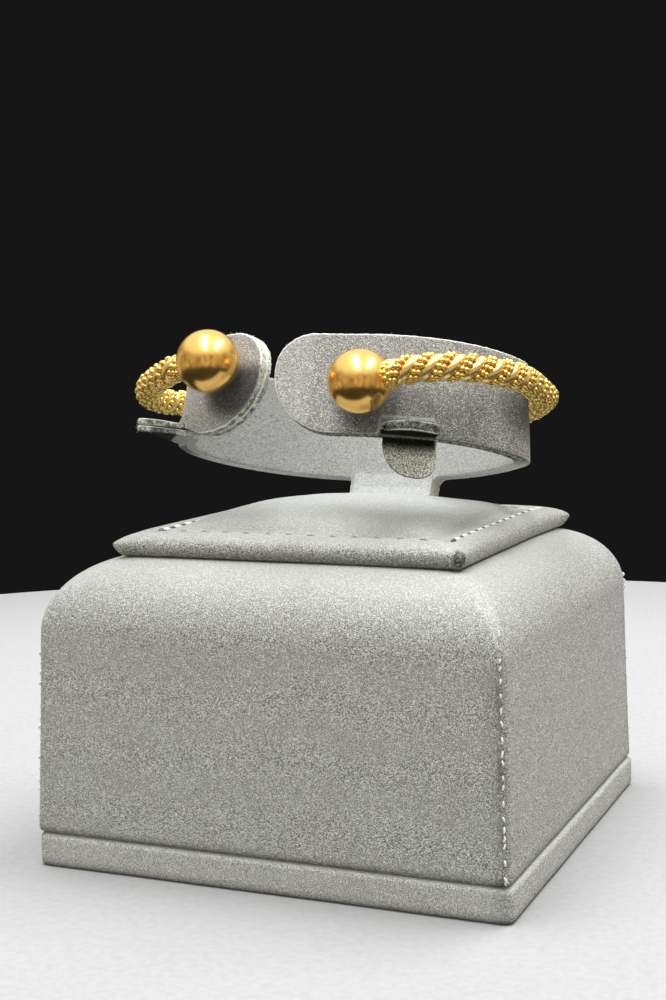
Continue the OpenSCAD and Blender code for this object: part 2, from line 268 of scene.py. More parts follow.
def leatherette(name, levels=LEATHER_LEVELS):
    """Leatherette, darker where its wear attribute is 1, both on rubbed places and as painted shade, and
    lighter where its pale one is, as a painted highlight.
    """
    nodes = new_material(name)
    colour, roughness, height = leatherette_colours(nodes, levels)
    # Painted highlight where the pale attribute is 1, on the pad's puckers
    colour = nodes.mix(nodes.attribute("pale"), colour, HIGHLIGHT_COLOUR)
    # Darkening on rubbed places and as painted shade, unevenly
    uneven = nodes.patches(DARKENING_SCALE, 2, 0.6, [(0.45, 1), (0.6, 0.6)])
    darkening = nodes.maths("MULTIPLY", nodes.attribute("wear"), uneven)
    return nodes.surface({
        "Base Color": nodes.mix(darkening, colour, WEAR_AND_SHADE_COLOUR),
        "Roughness": roughness,
        "Specular IOR Level": 0.45,
        "Sheen Weight": 0.12,
        "Sheen Roughness": 0.5,
    }, height, BUMP_STRENGTH, BUMP_DEPTH)


# Collar's leather: felted on its back and cut edges
FELT_SCALE = 4200
FELT_LEVELS = [(0.36, (0.12, 0.127, 0.103)), (0.5, (0.52, 0.545, 0.46)), (0.63, (0.98, 0.99, 0.90))]
CUT_SHADE = (0.20, 0.218, 0.19)
BLOTCH_SCALE = 1100
RIM_COLOUR = (0.72, 0.73, 0.70)
SHADE_COLOUR = (0.02, 0.02, 0.018)


def collar_leather(name):
    """Leatherette, felted where raw is 1, darker where cut is 1, darker with painted shade where shade is 1,
    paler on the rim, and painted lighter on the lining and wherever its lining share is 1.
    """
    nodes = new_material(name)
    colour, roughness, height = leatherette_colours(nodes, SHADED_COLLAR_LEVELS)
    # The lining's paler tone is painted light
    pale, _, _ = leatherette_colours(nodes, LIT_LINING_LEVELS)
    colour = nodes.mix(nodes.attribute("lit_lining"), colour, pale)
    felt = nodes.noise(nodes.place(), FELT_SCALE, 2)
    blotch = nodes.patches(BLOTCH_SCALE, 2, 0.5, [(0.4, 1), (0.6, 0.25)])
    dark_cut = nodes.maths("MULTIPLY", nodes.attribute("cut"), blotch)
    felted = nodes.mix(dark_cut, nodes.ramp(felt, FELT_LEVELS), CUT_SHADE, "MULTIPLY")
    raw = nodes.attribute("raw")
    colour = nodes.mix(raw, colour, felted)
    colour = nodes.mix(nodes.ramp(nodes.attribute("rim"), [(0.15, 0), (0.6, 0.85)]), colour, RIM_COLOUR)
    shade = nodes.attribute("shade")
    height = nodes.mix_values(raw, height, nodes.maths("MULTIPLY", felt, 2.5))
    return nodes.surface({
        "Base Color": nodes.mix(shade, colour, SHADE_COLOUR, "MULTIPLY"),
        "Roughness": nodes.mix_values(raw, roughness, 0.95),
        "Specular IOR Level": nodes.mix_values(shade, 0.4, 0.0),
        "Sheen Weight": nodes.mix_values(shade, 0.15, 0.0),
    }, height, BUMP_STRENGTH, BUMP_DEPTH)


# Darker and lighter tone of each thread
THREADS = [
    ("pale_thread", (0.5, 0.5, 0.47), (0.85, 0.85, 0.82)),
    ("grey_thread", (0.12, 0.12, 0.115), (0.32, 0.32, 0.3)),
    ("dark_thread", (0.04, 0.04, 0.038), (0.12, 0.12, 0.115)),
]
# Colour, colour of the painted shade in the recesses, roughness, bump and metallic share of each gold
GOLDS = [
    # The smooth strands' gold is a paler copy of the rope gold, a painted highlight for their brighter
    # reflections
    ("pale_lit_strand_gold", (1.0, 0.80, 0.32), (0.70, 0.28, 0.03), 0.22, 0.2, 0.82),
    ("rope_gold", (1.0, 0.76, 0.22), (0.72, 0.28, 0.03), 0.22, 0.25, 0.82),
    ("ball_gold", (1.0, 0.61, 0.17), (0.62, 0.27, 0.05), 0.2, 0.12, 0.96),
]


def thread_material(name, low, high):
    nodes = new_material(name)
    twist = nodes.noise(nodes.place(), 3500, 3, 0.5)
    tone = nodes.ramp(twist, [(0.3, low), (0.7, high)])
    return nodes.surface({"Base Color": tone, "Roughness": 0.7, "Sheen Weight": 0.3}, twist, 0.5, 0.05)


def gold_material(name, colour, deep_colour, roughness, bump, metallic):
    """Polished gold, with a darker, more orange painted shade in the recesses between strands where its
    recess attribute is 1.
    """
    nodes = new_material(name)
    place = nodes.place()
    tone = nodes.ramp(nodes.noise(place, 260, 3, 0.5), [(0.3, [0.93 * c for c in colour]), (0.7, colour)])
    scuff = nodes.ramp(nodes.noise(place, 1300, 4, 0.7), [(0.35, roughness), (0.75, roughness + 0.07)])
    return nodes.surface({
        "Base Color": nodes.mix(nodes.attribute("deep"), tone, deep_colour),
        "Roughness": scuff,
        "Metallic": metallic,
    }, nodes.noise(place, 420, 2, 0.5), bump, 0.05)


def floor_material():
    nodes = new_material("floor")
    tone = nodes.noise(nodes.place(), 700)
    grey = nodes.ramp(tone, [(0.3, 0.30), (0.7, 0.34)])
    return nodes.surface({"Base Color": grey, "Roughness": 0.8}, tone, 0.15, 0.1)


# Meshes, each a pair of points and faces
def add_object(name, shape, material, slot=None, **shares):
    """A smooth object that rides on the part where it has a slot; shares are values for each point."""
    points, faces = shape
    mesh = bpy.data.meshes.new(name)
    mesh.from_pydata((np.asarray(points) * MM).tolist(), [], faces)
    mesh.validate()
    for key, values in shares.items():
        mesh.attributes.new(key, "FLOAT", "POINT").data.foreach_set("value", np.asarray(values, np.float32))
    mesh.polygons.foreach_set("use_smooth", np.ones(len(mesh.polygons), bool))
    mesh.materials.append(material)
    made = bpy.data.objects.new(name, mesh)
    bpy.context.scene.collection.objects.link(made)
    if slot:
        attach(made, "root")
    return made


def merged(parts):
    """One mesh from several."""
    points, faces, start = [], [], 0
    for p, f in parts:
        points.append(p)
        faces += [[start + k for k in face] for face in f]
        start += len(p)
    return np.concatenate(points), faces


def unit(v):
    v = np.asarray(v, float)
    return v / np.linalg.norm(v, axis=-1, keepdims=True)


def smooth_step(low, high, value):
    """Rises from 0 to 1 between two values."""
    t = np.clip((value - low) / (high - low), 0, 1)
    return t * t * (3 - 2 * t)


def fade(low, high, value):
    """Falls from 1 to 0 between two values."""
    return 1 - smooth_step(low, high, value)


def between(rise, fall, value):
    return smooth_step(*rise, value) * fade(*fall, value)


def bell(value, width):
    return np.exp(-((value / width) ** 2))


def direction(degrees):
    """Cosine and sine of an angle."""
    return math.cos(math.radians(degrees)), math.sin(math.radians(degrees))


def noise_at(points, size, shift=(0, 0, 0)):
    """Noise at each point, of features of about a size."""
    return np.array([noise.noise(Vector(p) / size + Vector(shift)) for p in points])


def shaken(size):
    return np.array([dice.uniform(-size, size) for _ in range(3)])


def loop_faces(rings, count, closed=True):
    """Faces between rings of points that are stored one after another."""
    return [
        [r * count + k, r * count + (k + 1) % count, (r + 1) * count + (k + 1) % count, (r + 1) * count + k]
        for r in range(rings - 1)
        for k in range(count if closed else count - 1)
    ]


def skin(rings, count):
    """Faces of a closed body over rings of points, with a cap on both ends."""
    last = (rings - 1) * count
    return loop_faces(rings, count) + [list(range(count))[::-1], list(range(last, last + count))]


def turned(profile, count):
    """Rings of points round the z axis, through pairs of a radius and a height."""
    around = [2 * math.pi * j / count for j in range(count)]
    return np.array([(r * math.cos(a), r * math.sin(a), z) for r, z in profile for a in around])


def frames(line):
    """Two directions across a line at each of its points, which turn as little as they can."""
    along = unit(np.gradient(line, axis=0))
    side = np.cross(along[0], (0, 0, 1))
    if np.linalg.norm(side) < 0.1:
        side = np.cross(along[0], (1, 0, 0))
    sides = []
    for t in along:
        side = unit(side - np.dot(side, t) * t)
        sides.append(side)
    return np.array(sides), np.cross(along, sides)


def swept(line, sides, ups, radii, count):
    """A closed round body along a line, between two directions across it."""
    around = 2 * math.pi * np.arange(count)[:, None] / count
    rings = np.cos(around) * sides[:, None] + np.sin(around) * ups[:, None]
    points = line[:, None] + np.reshape(radii, (-1, 1, 1)) * rings
    return points.reshape(-1, 3), skin(len(line), count)


def tube(line, radius, count, end=0.55):
    """A thread along a line; end is the share of its radius at both ends."""
    radii = np.full(len(line), radius)
    radii[[0, -1]] *= end
    return swept(line, *frames(line), radii, count)


def bezier(a, b, c, steps):
    t = np.linspace(0, 1, steps + 1)[:, None]
    return (1 - t) ** 2 * a + 2 * t * (1 - t) * b + t * t * c


# Floor
FLOOR_RADIUS = 300
FLOOR_EDGE = 4
FLOOR_DEPTH = 14
FLOOR_GAP = 0.05
FLOOR_STEPS = 160


def build_floor():
    profile = [(radius, -FLOOR_GAP) for radius in (1, 100, 200, FLOOR_RADIUS - FLOOR_EDGE)]
    profile += [(FLOOR_RADIUS, -drop - FLOOR_GAP) for drop in (FLOOR_EDGE, FLOOR_DEPTH)]
    faces = loop_faces(len(profile), FLOOR_STEPS) + [list(range(FLOOR_STEPS))]
    floor = add_object("floor", (turned(profile, FLOOR_STEPS), faces), floor_material())
    floor.visible_glossy = False


# Stand boards: rings of rounded squares, from the underside up to the top
# low and high are heights, half is half the width, r is a radius, and wave is how uneven the cover is
Board = namedtuple("Board", "low high half shift flare low_r top_r corner top_corner groove wave")
# How far the covers stand out beyond the CAD's boards, and lie below the CAD's joint and top
PLINTH_PROUD = 1.35
BLOCK_PROUD = 0.85
JOINT_DROP = 0.75
JOINT_GAP = 0.05
TOP_DROP = 0.5
SIDE_STEPS = 80
CORNER_STEPS = 14
LOW_EDGE_STEPS = 6
TOP_EDGE_STEPS = 22
# Angles in degrees round a corner
SEAM_ANGLE = 36
GROOVE_HALF = 12
SEAM_SHADE_ANGLE = 22
SEAM_SHADE_HALF = 30
# Wear and painted shade along a side beside the seams: share, step that it is about, and width in steps
SEAM_SIDE_WEAR_AND_SHADE = ((0.15, 0, 2), (0.5, SIDE_STEPS, 1.5))
# Shares of wear and painted shade beside the seams and of painted shade at the foot, and the heights between
# which they fade out
SEAM_WEAR_AND_SHADE = 0.75
SEAM_SHADE_FADE = (35, 42)
FOOT_PAINTED_SHADE = 0.7
FOOT_SHADE_FADE = (0.2, 1.4)
# Unevenness: sizes of its noises, the share of the finer one, and how patchy the seams' wear and painted
# shade is
WAVE_SIZE = 17
RIPPLE = 0.35
RIPPLE_SIZE = 5
PATCH_SIZE = 6
PATCH_LEAST = 0.35
PATCH_RANGE = 0.8


def square_ring(half, height, corner, groove):
    """One ring; groove is how deep the seam sinks in at the corners."""
    flat = half - corner
    local = [(half, flat * (2 * k / SIDE_STEPS - 1)) for k in range(SIDE_STEPS)]
    for k in range(CORNER_STEPS):
        a = 90 * k / CORNER_STEPS
        r = corner - groove * bell(a - SEAM_ANGLE, GROOVE_HALF)
        c, s = direction(a)
        local.append((flat + r * c, flat + r * s))
    points = []
    for quarter in range(4):
        c, s = direction(90 * quarter)
        points += [(c * x - s * y, s * x + c * y, height) for x, y in local]
    return points


def arc_steps(centre_half, centre_height, radius, start, stop, steps):
    """Pairs of a half width and a height along a round edge, angles in degrees from level."""
    edge = [direction(a) for a in np.linspace(start, stop, steps + 1)]
    return [(centre_half + radius * c, centre_height + radius * s) for c, s in edge]


def flared(form, z):
    """A wall's half width, wider by flare at its foot and narrower by as much at its top."""
    part = (z - form.low) / (form.high - form.top_r - form.low)
    return form.half + form.flare * (1 - 2 * min(1.0, max(0.0, part)))


def board_profile(form):
    """Pairs of a half width and a height from the middle of the underside to the middle of the top."""
    half, wall_low, wall_high = form.half, form.low + form.low_r, form.high - form.top_r
    steps = max(4, round(wall_high - wall_low))
    profile = [(half * t, form.low) for t in (0.02, 0.5, 0.9)]
    profile += arc_steps(half - form.low_r, wall_low, form.low_r, -90, 0, LOW_EDGE_STEPS)
    profile += [(half, wall_low + (wall_high - wall_low) * k / steps) for k in range(1, steps)]
    profile += arc_steps(half - form.top_r, wall_high, form.top_r, 0, 90, TOP_EDGE_STEPS)
    return profile + [((half - form.top_r) * t, form.high) for t in (0.97, 0.9, 0.75, 0.5, 0.25, 0.02)]


def seam_wear(rings):
    """How dark the cover is beside its corner seams, by wear and painted shade, for every point of its rings.
    """
    k = np.arange(SIDE_STEPS)
    side = sum(share * bell(start - k, width) for share, start, width in SEAM_SIDE_WEAR_AND_SHADE)
    angles = 90 * np.arange(CORNER_STEPS) / CORNER_STEPS
    corner = bell(angles - SEAM_SHADE_ANGLE, SEAM_SHADE_HALF)
    return SEAM_WEAR_AND_SHADE * np.tile(np.concatenate([side, corner]), 4 * rings)


def board(name, form, material):
    """A covered board: rounded lower and upper edges, mitred seams up its corners."""
    rings = []
    for w, z in board_profile(form):
        rise = min(1, max(0, (z - (form.high - form.top_r)) / form.top_r))
        w = w / form.half * flared(form, z)
        corner = min(form.corner + (form.top_corner - form.corner) * rise**2, 0.45 * w)
        rings.append(square_ring(w, z, corner, form.groove * (1 - rise) ** 0.7 if w > 0.6 * form.half else 0))
    points = np.array(rings).reshape(-1, 3)
    at_wall = smooth_step(0.9 * form.half, 0.99 * form.half, np.abs(points[:, :2]).max(1))
    lift = form.wave * (noise_at(points, WAVE_SIZE) + RIPPLE * noise_at(points, RIPPLE_SIZE, (3, 1, 2)))
    points[:, :2] += unit(points[:, :2]) * (lift * at_wall)[:, None]
    points[:, 2] += lift * (1 - at_wall) * (points[:, 2] > form.low + form.low_r)
    points[:, 0] += form.shift
    patchy = PATCH_LEAST + PATCH_RANGE * np.abs(noise_at(points, PATCH_SIZE))
    # Patchy wear and painted shade beside the corner seams
    wear = seam_wear(len(rings)) * patchy * fade(*SEAM_SHADE_FADE, points[:, 2])
    # Painted shade along the board's foot
    wear += FOOT_PAINTED_SHADE * fade(*FOOT_SHADE_FADE, points[:, 2] - form.low)
    shape = points, skin(len(rings), 4 * (SIDE_STEPS + CORNER_STEPS))
    return add_object(name, shape, material, "leatherette", wear=np.clip(wear, 0, 1))


# Running stitches up the block's corner seams, mostly sunk in, and a frayed end low on the front right
SEAM_START = 1.2
SEAM_STEPS = (1.1, 2.6)
SEAM_TOPS = (37.5, 37.5, 39.5, 40.6)
SEAM_SUNK = 0.1
SEAM_THREAD = 0.18
STITCH_LENGTHS = (0.5, 1.2)
STITCH_HEIGHTS = (0.0, 0.06, 0.12, 0.18, 0.26)
STITCH_LEAN = 0.4
STITCH_SINK = 0.3
STITCH_RISE = 0.15
LOOSE_LOOPS = (38.9, 40.1, 41.3)
# A loose loop's length, height, lean and radius
LOOP = (0.75, 0.5, 0.1, 0.22)
FRAY_COUNT = 14
FRAY_HEIGHTS = (-0.9, 1.4)
FRAY_SINK = 0.2
FRAY_OUT = (0.1, 1)
FRAY_UP = (-0.8, 0.5)
FRAY_LENGTHS = (0.5, 1.1)
FRAY_BEND = 0.3
FRAY_THREAD = 0.05


def seam_place(form, height, aside=0.0):
    """A point of the seam where x and y are positive, and the way out there; aside is along the corner."""
    over = min(1, max(0.0, height - (form.high - form.top_r)) / form.top_r)
    lean = math.asin(over)
    w = flared(form, height) - SEAM_SUNK - form.top_r * (1 - math.cos(lean))
    r = form.corner + (form.top_corner - form.corner) * over**2
    a = math.radians(SEAM_ANGLE) + aside / r
    out = np.array((math.cos(a) * math.cos(lean), math.sin(a) * math.cos(lean), math.sin(lean)))
    return np.array((w - r + r * math.cos(a), w - r + r * math.sin(a), height)), out


def seam_stitch(form, z, length, proud, aside, radius=SEAM_THREAD):
    low, out = seam_place(form, z - length / 2, -aside / 2)
    middle, _ = seam_place(form, z)
    high, _ = seam_place(form, z + length / 2, aside / 2)
    sunk = STITCH_SINK * out
    return tube(bezier(low - sunk, middle + 2 * (proud + STITCH_RISE) * out, high - sunk, 7), radius, 6)


def frayed_fibre(form, turn):
    """One fibre of the seam's frayed lower end."""
    root, out = seam_place(form, form.low + SEAM_START + dice.uniform(*FRAY_HEIGHTS))
    root = (root - FRAY_SINK * out) @ turn.T
    way = np.array((dice.uniform(*FRAY_OUT), -dice.uniform(*FRAY_OUT), dice.uniform(*FRAY_UP)))
    tip = root + way * dice.uniform(*FRAY_LENGTHS)
    return tube(bezier(root, (root + tip) / 2 + shaken(FRAY_BEND), tip, 5), FRAY_THREAD, 4)


def seam_threads(form, material):
    turns = [np.array(Matrix.Rotation(math.radians(90 * quarter), 3, "Z")) for quarter in range(4)]
    parts = []
    for turn, top in zip(turns, SEAM_TOPS):
        z = form.low + SEAM_START
        while z < top:
            length = dice.uniform(*STITCH_LENGTHS)
            proud = dice.choice(STITCH_HEIGHTS)
            lean = dice.uniform(-STITCH_LEAN, STITCH_LEAN)
            points, faces = seam_stitch(form, z, length, proud, lean)
            parts.append((points @ turn.T, faces))
            z += dice.uniform(*SEAM_STEPS)
    parts += [seam_stitch(form, z, *LOOP) for z in LOOSE_LOOPS]
    parts += [frayed_fibre(form, turns[3]) for _ in range(FRAY_COUNT)]
    points, faces = merged(parts)
    add_object("corner_threads", (points + (form.shift, 0, 0), faces), material, "leatherette")


# Pad: crowned top with a sewn rectangle, rolled rim with a worn corner
PAD_LOW = 51.4
PAD_RIM = 55.3
PAD_MIDDLE = (PAD_LOW + PAD_RIM) / 2
PAD_HALF = 30.3
CROWN_HEIGHT = 3.9
CROWN_HALF = 23.4
CROWN_POWER = 0.45
CROWN_WAVE = 0.22
CROWN_WAVE_SIZE = 11
PAD_WAVE = 0.07
PAD_WAVE_SIZE = 4
ROLL_TOP = 3.2
ROLL_LOW = 0.9
PAD_FLAT = PAD_HALF - ROLL_TOP
PAD_CORNER = 0.5
GRID_NEAR = 1.3
GRID_FINE = 0.2
GRID_COARSE = 0.55
GRID_LAST = 0.15
# How far each corner is pulled out, by whether x and y are positive
TIP_PULL = {(False, False): 1.0, (True, True): 1.15, (True, False): 0.35, (False, True): 0.8}
TIP_POWER = 9
TIP_THIN = 0.4
TIP_BELOW = 0.6
RIDGE = 0.25
RIDGE_WIDTH = 2.2
SEWN_MIDDLE = 0.8
SEWN_X = 26.2
SEWN_FRONT = -25.2
SEWN_BACK = 25
SEWN_PITCH = 3.9
SEWN_LEAD = 1.2
SEWN_SINK = 0.08
SEWN_WIDTH = 1.2
PIT_LENGTH = 2.0
PIT_FADE = (0.4 * PIT_LENGTH, 0.62 * PIT_LENGTH)
PIT_DEPTH = 0.4
PIT_WIDTH = 0.5
PUCKER = 0.2
ROLL_ANGLES = range(80, -91, -10)
ROLL_WAVE = 0.1
ROLL_WAVE_SIZE = 9
CORNER_TUCK = 0.25
SIDE_TUCK = 0.22
UNDERSIDE = 0.8
# The worn hole at the front right corner, and its half width and half height
HOLE_AT = (30.3, -30.3, 53.1)
HOLE_HALVES = (0.95, 1.25)
HOLE_REACH = 3
HOLE_DEPTH = 0.55
# Parts of the hole's radius
HOLE_EDGE = (0.75, 1.05)
HOLE_RIM = 0.92
HOLE_RIM_HALF = 0.2
HOLE_INSIDE = 0.9
# Shares of wear inside the hole, of painted shade in the needle pits and low on the pad's edge, with more in
# front, and of a painted highlight on the puckers
HOLE_WEAR = 0.75
PIT_PAINTED_SHADE = 0.8
PAD_EDGE_PAINTED_SHADE = 0.3
PAD_FRONT_PAINTED_SHADE = 0.35
PAD_EDGE_SHADE_FADE = (0.3, 2.2)
FRONT_FADE = (0.8, 0.95)
PAD_CONTACT_SHADE_BELOW = 0.2
PUCKER_HIGHLIGHT = 0.9


def sewn_place(x, y):
    """Distance to the sewn rectangle, distance along its nearest side, and how plainly that side shows."""
    cx, cy = abs(x - SEWN_MIDDLE) - SEWN_X, max(SEWN_FRONT - y, y - SEWN_BACK)
    strength = 1 if cx > cy else 0.3
    if cx > 0 and cy > 0:
        return math.hypot(cx, cy), SEWN_PITCH / 2, strength
    if cx > cy:
        return abs(cx), y - SEWN_FRONT + SEWN_LEAD, strength
    return abs(cy), x - SEWN_MIDDLE + SEWN_X + SEWN_LEAD, strength


def pit_share(x, y):
    """How much a place lies in a needle pit of the sewn rectangle, and in the pucker between two pits."""
    away, along, strength = sewn_place(x, y)
    step = abs((along / SEWN_PITCH) % 1 - 0.5) * SEWN_PITCH
    near = strength * bell(away, PIT_WIDTH)
    pit = fade(*PIT_FADE, step)
    return near * pit, near * (1 - pit)


def pad_height(x, y):
    fx = max(0, 1 - (x / CROWN_HALF) ** 2)
    fy = max(0, 1 - (y / CROWN_HALF) ** 2)
    z = PAD_RIM + CROWN_HEIGHT * (fx * fy) ** CROWN_POWER
    z += RIDGE * bell(max(0, PAD_FLAT - max(abs(x), abs(y))), RIDGE_WIDTH)
    z -= SEWN_SINK * bell(sewn_place(x, y)[0], SEWN_WIDTH)
    pit, pucker = pit_share(x, y)
    z += PUCKER * pucker - PIT_DEPTH * pit
    place = Vector((x, y, 0))
    z += CROWN_WAVE * (fx * fy) ** 0.3 * noise.noise(place / CROWN_WAVE_SIZE)
    return z + PAD_WAVE * noise.noise(place / PAD_WAVE_SIZE + Vector((5, 5, 5)))


def line_values(places):
    """Grid lines across the pad, closer together near the sewn lines."""
    values, v = [], -PAD_FLAT
    while v < PAD_FLAT - GRID_LAST:
        values.append(v)
        v += GRID_FINE if min(abs(v - p) for p in places) < GRID_NEAR else GRID_COARSE
    return values + [PAD_FLAT]


def round_corner(x, y, half):
    """Moves a place near a square's corner onto the rounded one."""
    flat = half - PAD_CORNER
    dx, dy = abs(x) - flat, abs(y) - flat
    if dx <= 0 or dy <= 0:
        return x, y
    k = max(dx, dy) / math.hypot(dx, dy)
    return math.copysign(flat + dx * k, x), math.copysign(flat + dy * k, y)


def rolled_point(u, v, angle):
    """A point of the rolled edge, from its place on a unit square and its angle in degrees from level."""
    c, s = direction(angle)
    half = PAD_HALF - (ROLL_TOP if angle >= 0 else ROLL_LOW) * (1 - c)
    x, y = round_corner(u * half, v * half, half)
    far, near = max(abs(x), abs(y)) / half, min(abs(x), abs(y)) / half
    out = ROLL_WAVE * noise.noise(Vector((x, y, 20)) / ROLL_WAVE_SIZE) - CORNER_TUCK * (1 - min(1, far**2))
    k = 1 + (out - SIDE_TUCK * (1 - near**2)) / half
    rise = PAD_RIM - PAD_MIDDLE + (RIDGE if angle > 0 else 0)
    return x * k, y * k, PAD_MIDDLE + rise * s


def pinch(points):
    """Pulls the pad's corners out to thin tips."""
    for p in points:
        share = (min(abs(p[0]), abs(p[1])) / PAD_HALF) ** TIP_POWER
        below = min(1, max(0, (PAD_MIDDLE - p[2]) / (PAD_MIDDLE - PAD_LOW)))
        pull = TIP_PULL[bool(p[0] > 0), bool(p[1] > 0)] * share * (1 - TIP_BELOW * below)
        p[:2] += np.copysign(pull, p[:2])
        if p[2] > PAD_MIDDLE:
            p[2] = PAD_MIDDLE + (p[2] - PAD_MIDDLE) * (1 - TIP_THIN * min(1, share))


def pad_shape(xs, ys):
    """The pad's top on a grid, its rolled edge round it and its underside."""
    nx, ny = len(xs), len(ys)
    places = [round_corner(x, y, PAD_FLAT) for y in ys for x in xs]
    points = [(x, y, pad_height(x, y)) for x, y in places]
    faces = loop_faces(ny, nx, closed=False)
    border = [(i, 0) for i in range(nx - 1)] + [(nx - 1, j) for j in range(ny - 1)]
    border += [(i, ny - 1) for i in range(nx - 1, 0, -1)] + [(0, j) for j in range(ny - 1, 0, -1)]
    outline = [(xs[i] / PAD_FLAT, ys[j] / PAD_FLAT) for i, j in border]
    rings = [[rolled_point(u, v, angle) for u, v in outline] for angle in ROLL_ANGLES]
    rings.append([(UNDERSIDE * x, UNDERSIDE * y, z) for x, y, z in rings[-1]])
    before = [j * nx + i for i, j in border]
    for ring in rings:
        after = [len(points) + k for k in range(len(ring))]
        points += ring
        faces += [list(f) for f in zip(before, after, after[1:] + after[:1], before[1:] + before[:1])]
        before = after
    return np.array(points), faces + [before]


def wear_hole(points):
    """Sinks the worn hole into the pad's corner and gives how worn the points round it are."""
    inward = unit((-1, 1, 0))
    off = points - HOLE_AT
    r = np.hypot(off @ unit((1, 1, 0)) / HOLE_HALVES[0], off[:, 2] / HOLE_HALVES[1])
    near = np.abs(off @ inward) < HOLE_REACH
    points += inward * (near * HOLE_DEPTH * fade(*HOLE_EDGE, r))[:, None]
    return near * (bell(r - HOLE_RIM, HOLE_RIM_HALF) + HOLE_WEAR * (r < HOLE_INSIDE))


def build_pad(material):
    xs = line_values((SEWN_MIDDLE - SEWN_X, SEWN_MIDDLE + SEWN_X))
    ys = line_values((SEWN_FRONT, SEWN_BACK))
    points, faces = pad_shape(xs, ys)
    on_top = len(xs) * len(ys)
    pits, puckers = np.zeros((2, len(points)))
    pits[:on_top], puckers[:on_top] = np.transpose([pit_share(x, y) for x, y in points[:on_top, :2]])
    pinch(points)
    # Wear round the hole, and painted shade in the needle pits
    wear = wear_hole(points) + PIT_PAINTED_SHADE * pits
    above = points[:, 2] - PAD_LOW
    front = smooth_step(*FRONT_FADE, -points[:, 1] / PAD_HALF)
    # Painted shade low on the pad's edge, more in front, and a dark painted contact line at its foot
    wear += (PAD_EDGE_PAINTED_SHADE + PAD_FRONT_PAINTED_SHADE * front) * fade(*PAD_EDGE_SHADE_FADE, above) + (above < PAD_CONTACT_SHADE_BELOW)
    # pale is a painted highlight on the puckers between the needle pits
    shares = {"wear": np.clip(wear, 0, 1), "pale": PUCKER_HIGHLIGHT * puckers}
    pad = add_object("pad_cover", (points, faces), material, "leatherette", **shares)
    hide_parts("stand_pad")


# How proud a thread stands and its radius, for the sides and for the ends
SIDE_THREAD = (0.4, 0.26)
END_THREAD = (0.2, 0.13)
THREAD_SINK = 0.25


def sewn_line(start, end, proud, radius):
    """The stitches that show along one side of the sewn rectangle."""
    parts = []
    length = math.dist(start, end)
    along = unit(np.subtract(end, start))
    for k in range(int(length / SEWN_PITCH)):
        middle = start + along * ((k + 0.5) * SEWN_PITCH - SEWN_LEAD)
        line = []
        for part, lift in ((-0.5, -THREAD_SINK), (0, proud), (0.5, -THREAD_SINK)):
            x, y = middle + along * part * PIT_LENGTH
            line.append(np.array((x, y, pad_height(x, y) + lift)))
        a, b, c = line
        parts.append(tube(bezier(a, 2 * b - (a + c) / 2, c, 6), radius, 6))
    return parts


def pad_threads(dark, grey):
    left, right = SEWN_MIDDLE - SEWN_X, SEWN_MIDDLE + SEWN_X
    sides = [sewn_line((x, SEWN_FRONT), (x, SEWN_BACK), *SIDE_THREAD) for x in (left, right)]
    ends = [sewn_line((left, y), (right, y), *END_THREAD) for y in (SEWN_FRONT, SEWN_BACK)]
    add_object("pad_side_threads", merged(sum(sides, [])), dark, "leatherette")
    add_object("pad_end_threads", merged(sum(ends, [])), grey, "leatherette")


# Collar: two cut leather layers, built about the collar's own axis
COLLAR_AT = (0, -0.4, 66.3)
COLLAR_LEAN = 16
COLLAR_ROLL = 1.5
BAND_HEIGHT = 17.4
LAYER = 1.45
LAYER_GAP = 0.1
FLARE = math.tan(math.radians(4))
BACK_Y = 23.2
NECK_HALF = 8.75
NECK_SHIFT = 0.7
NECK_DROP = 15.3
NECK_SLOPE = math.tan(math.radians(17))
NECK_FILLET = 1.6
# An arm's bends, as radius and angle, run from the middle of the back to the straight end with its corners.
# Its tab, tab_back from the tip, folds out at the height fold and slopes by drop. The wall's lower edge
# comes back to level over blend.
Arm = namedtuple("Arm", "bends straight corners tab_back fold width blend length thick drop tab_corners")
ARMS = {
    1: Arm(bends=[(38.4, 49.5), (8.7, 51.6), (26.6, 67.8)], straight=16.7, corners=(6.7, 10.5), tab_back=23.5,
           fold=-0.15, width=9.2, blend=0.5, length=8.5, thick=1.55, drop=math.tan(math.radians(8)),
           tab_corners=(3, 1.8)),
    -1: Arm(bends=[(30.3, 79), (17.8, 87.7)], straight=8.6, corners=(6.3, 10.9), tab_back=21.5,
            fold=1.45, width=8, blend=6, length=7.4, thick=1.15, drop=0, tab_corners=(1, 4)),
}
TAB_BEND = 1.5
TAB_ROOT = 0.8
TAB_GAP = 0.08
RIGHT_SAG = 0.6
LEFT_TWIST = 1.5
LEFT_WAVE = 0.12
TONGUE_WIDTH = 9
TONGUE_SHIFT = -0.6
TONGUE_TOP = 1.2
TONGUE_LENGTH = 6.7
TONGUE_THICK = 0.9
TONGUE_BEND = 0.35
TONGUE_BACK = 0.1
TONGUE_CORNERS = (5.6, 2.8)
STATIONS_PER_MM = 2.5
WALL_ROWS = 12
TAB_STEPS = 16
VOXEL = 0.27
SMOOTHINGS = 3

in_collar = np.array(
    Matrix.Translation(COLLAR_AT)
    @ Matrix.Rotation(math.radians(-COLLAR_ROLL), 4, "Y")
    @ Matrix.Rotation(math.radians(-COLLAR_LEAN), 4, "X")
)


def moved(points, matrix):
    return points @ matrix[:3, :3].T + matrix[:3, 3]


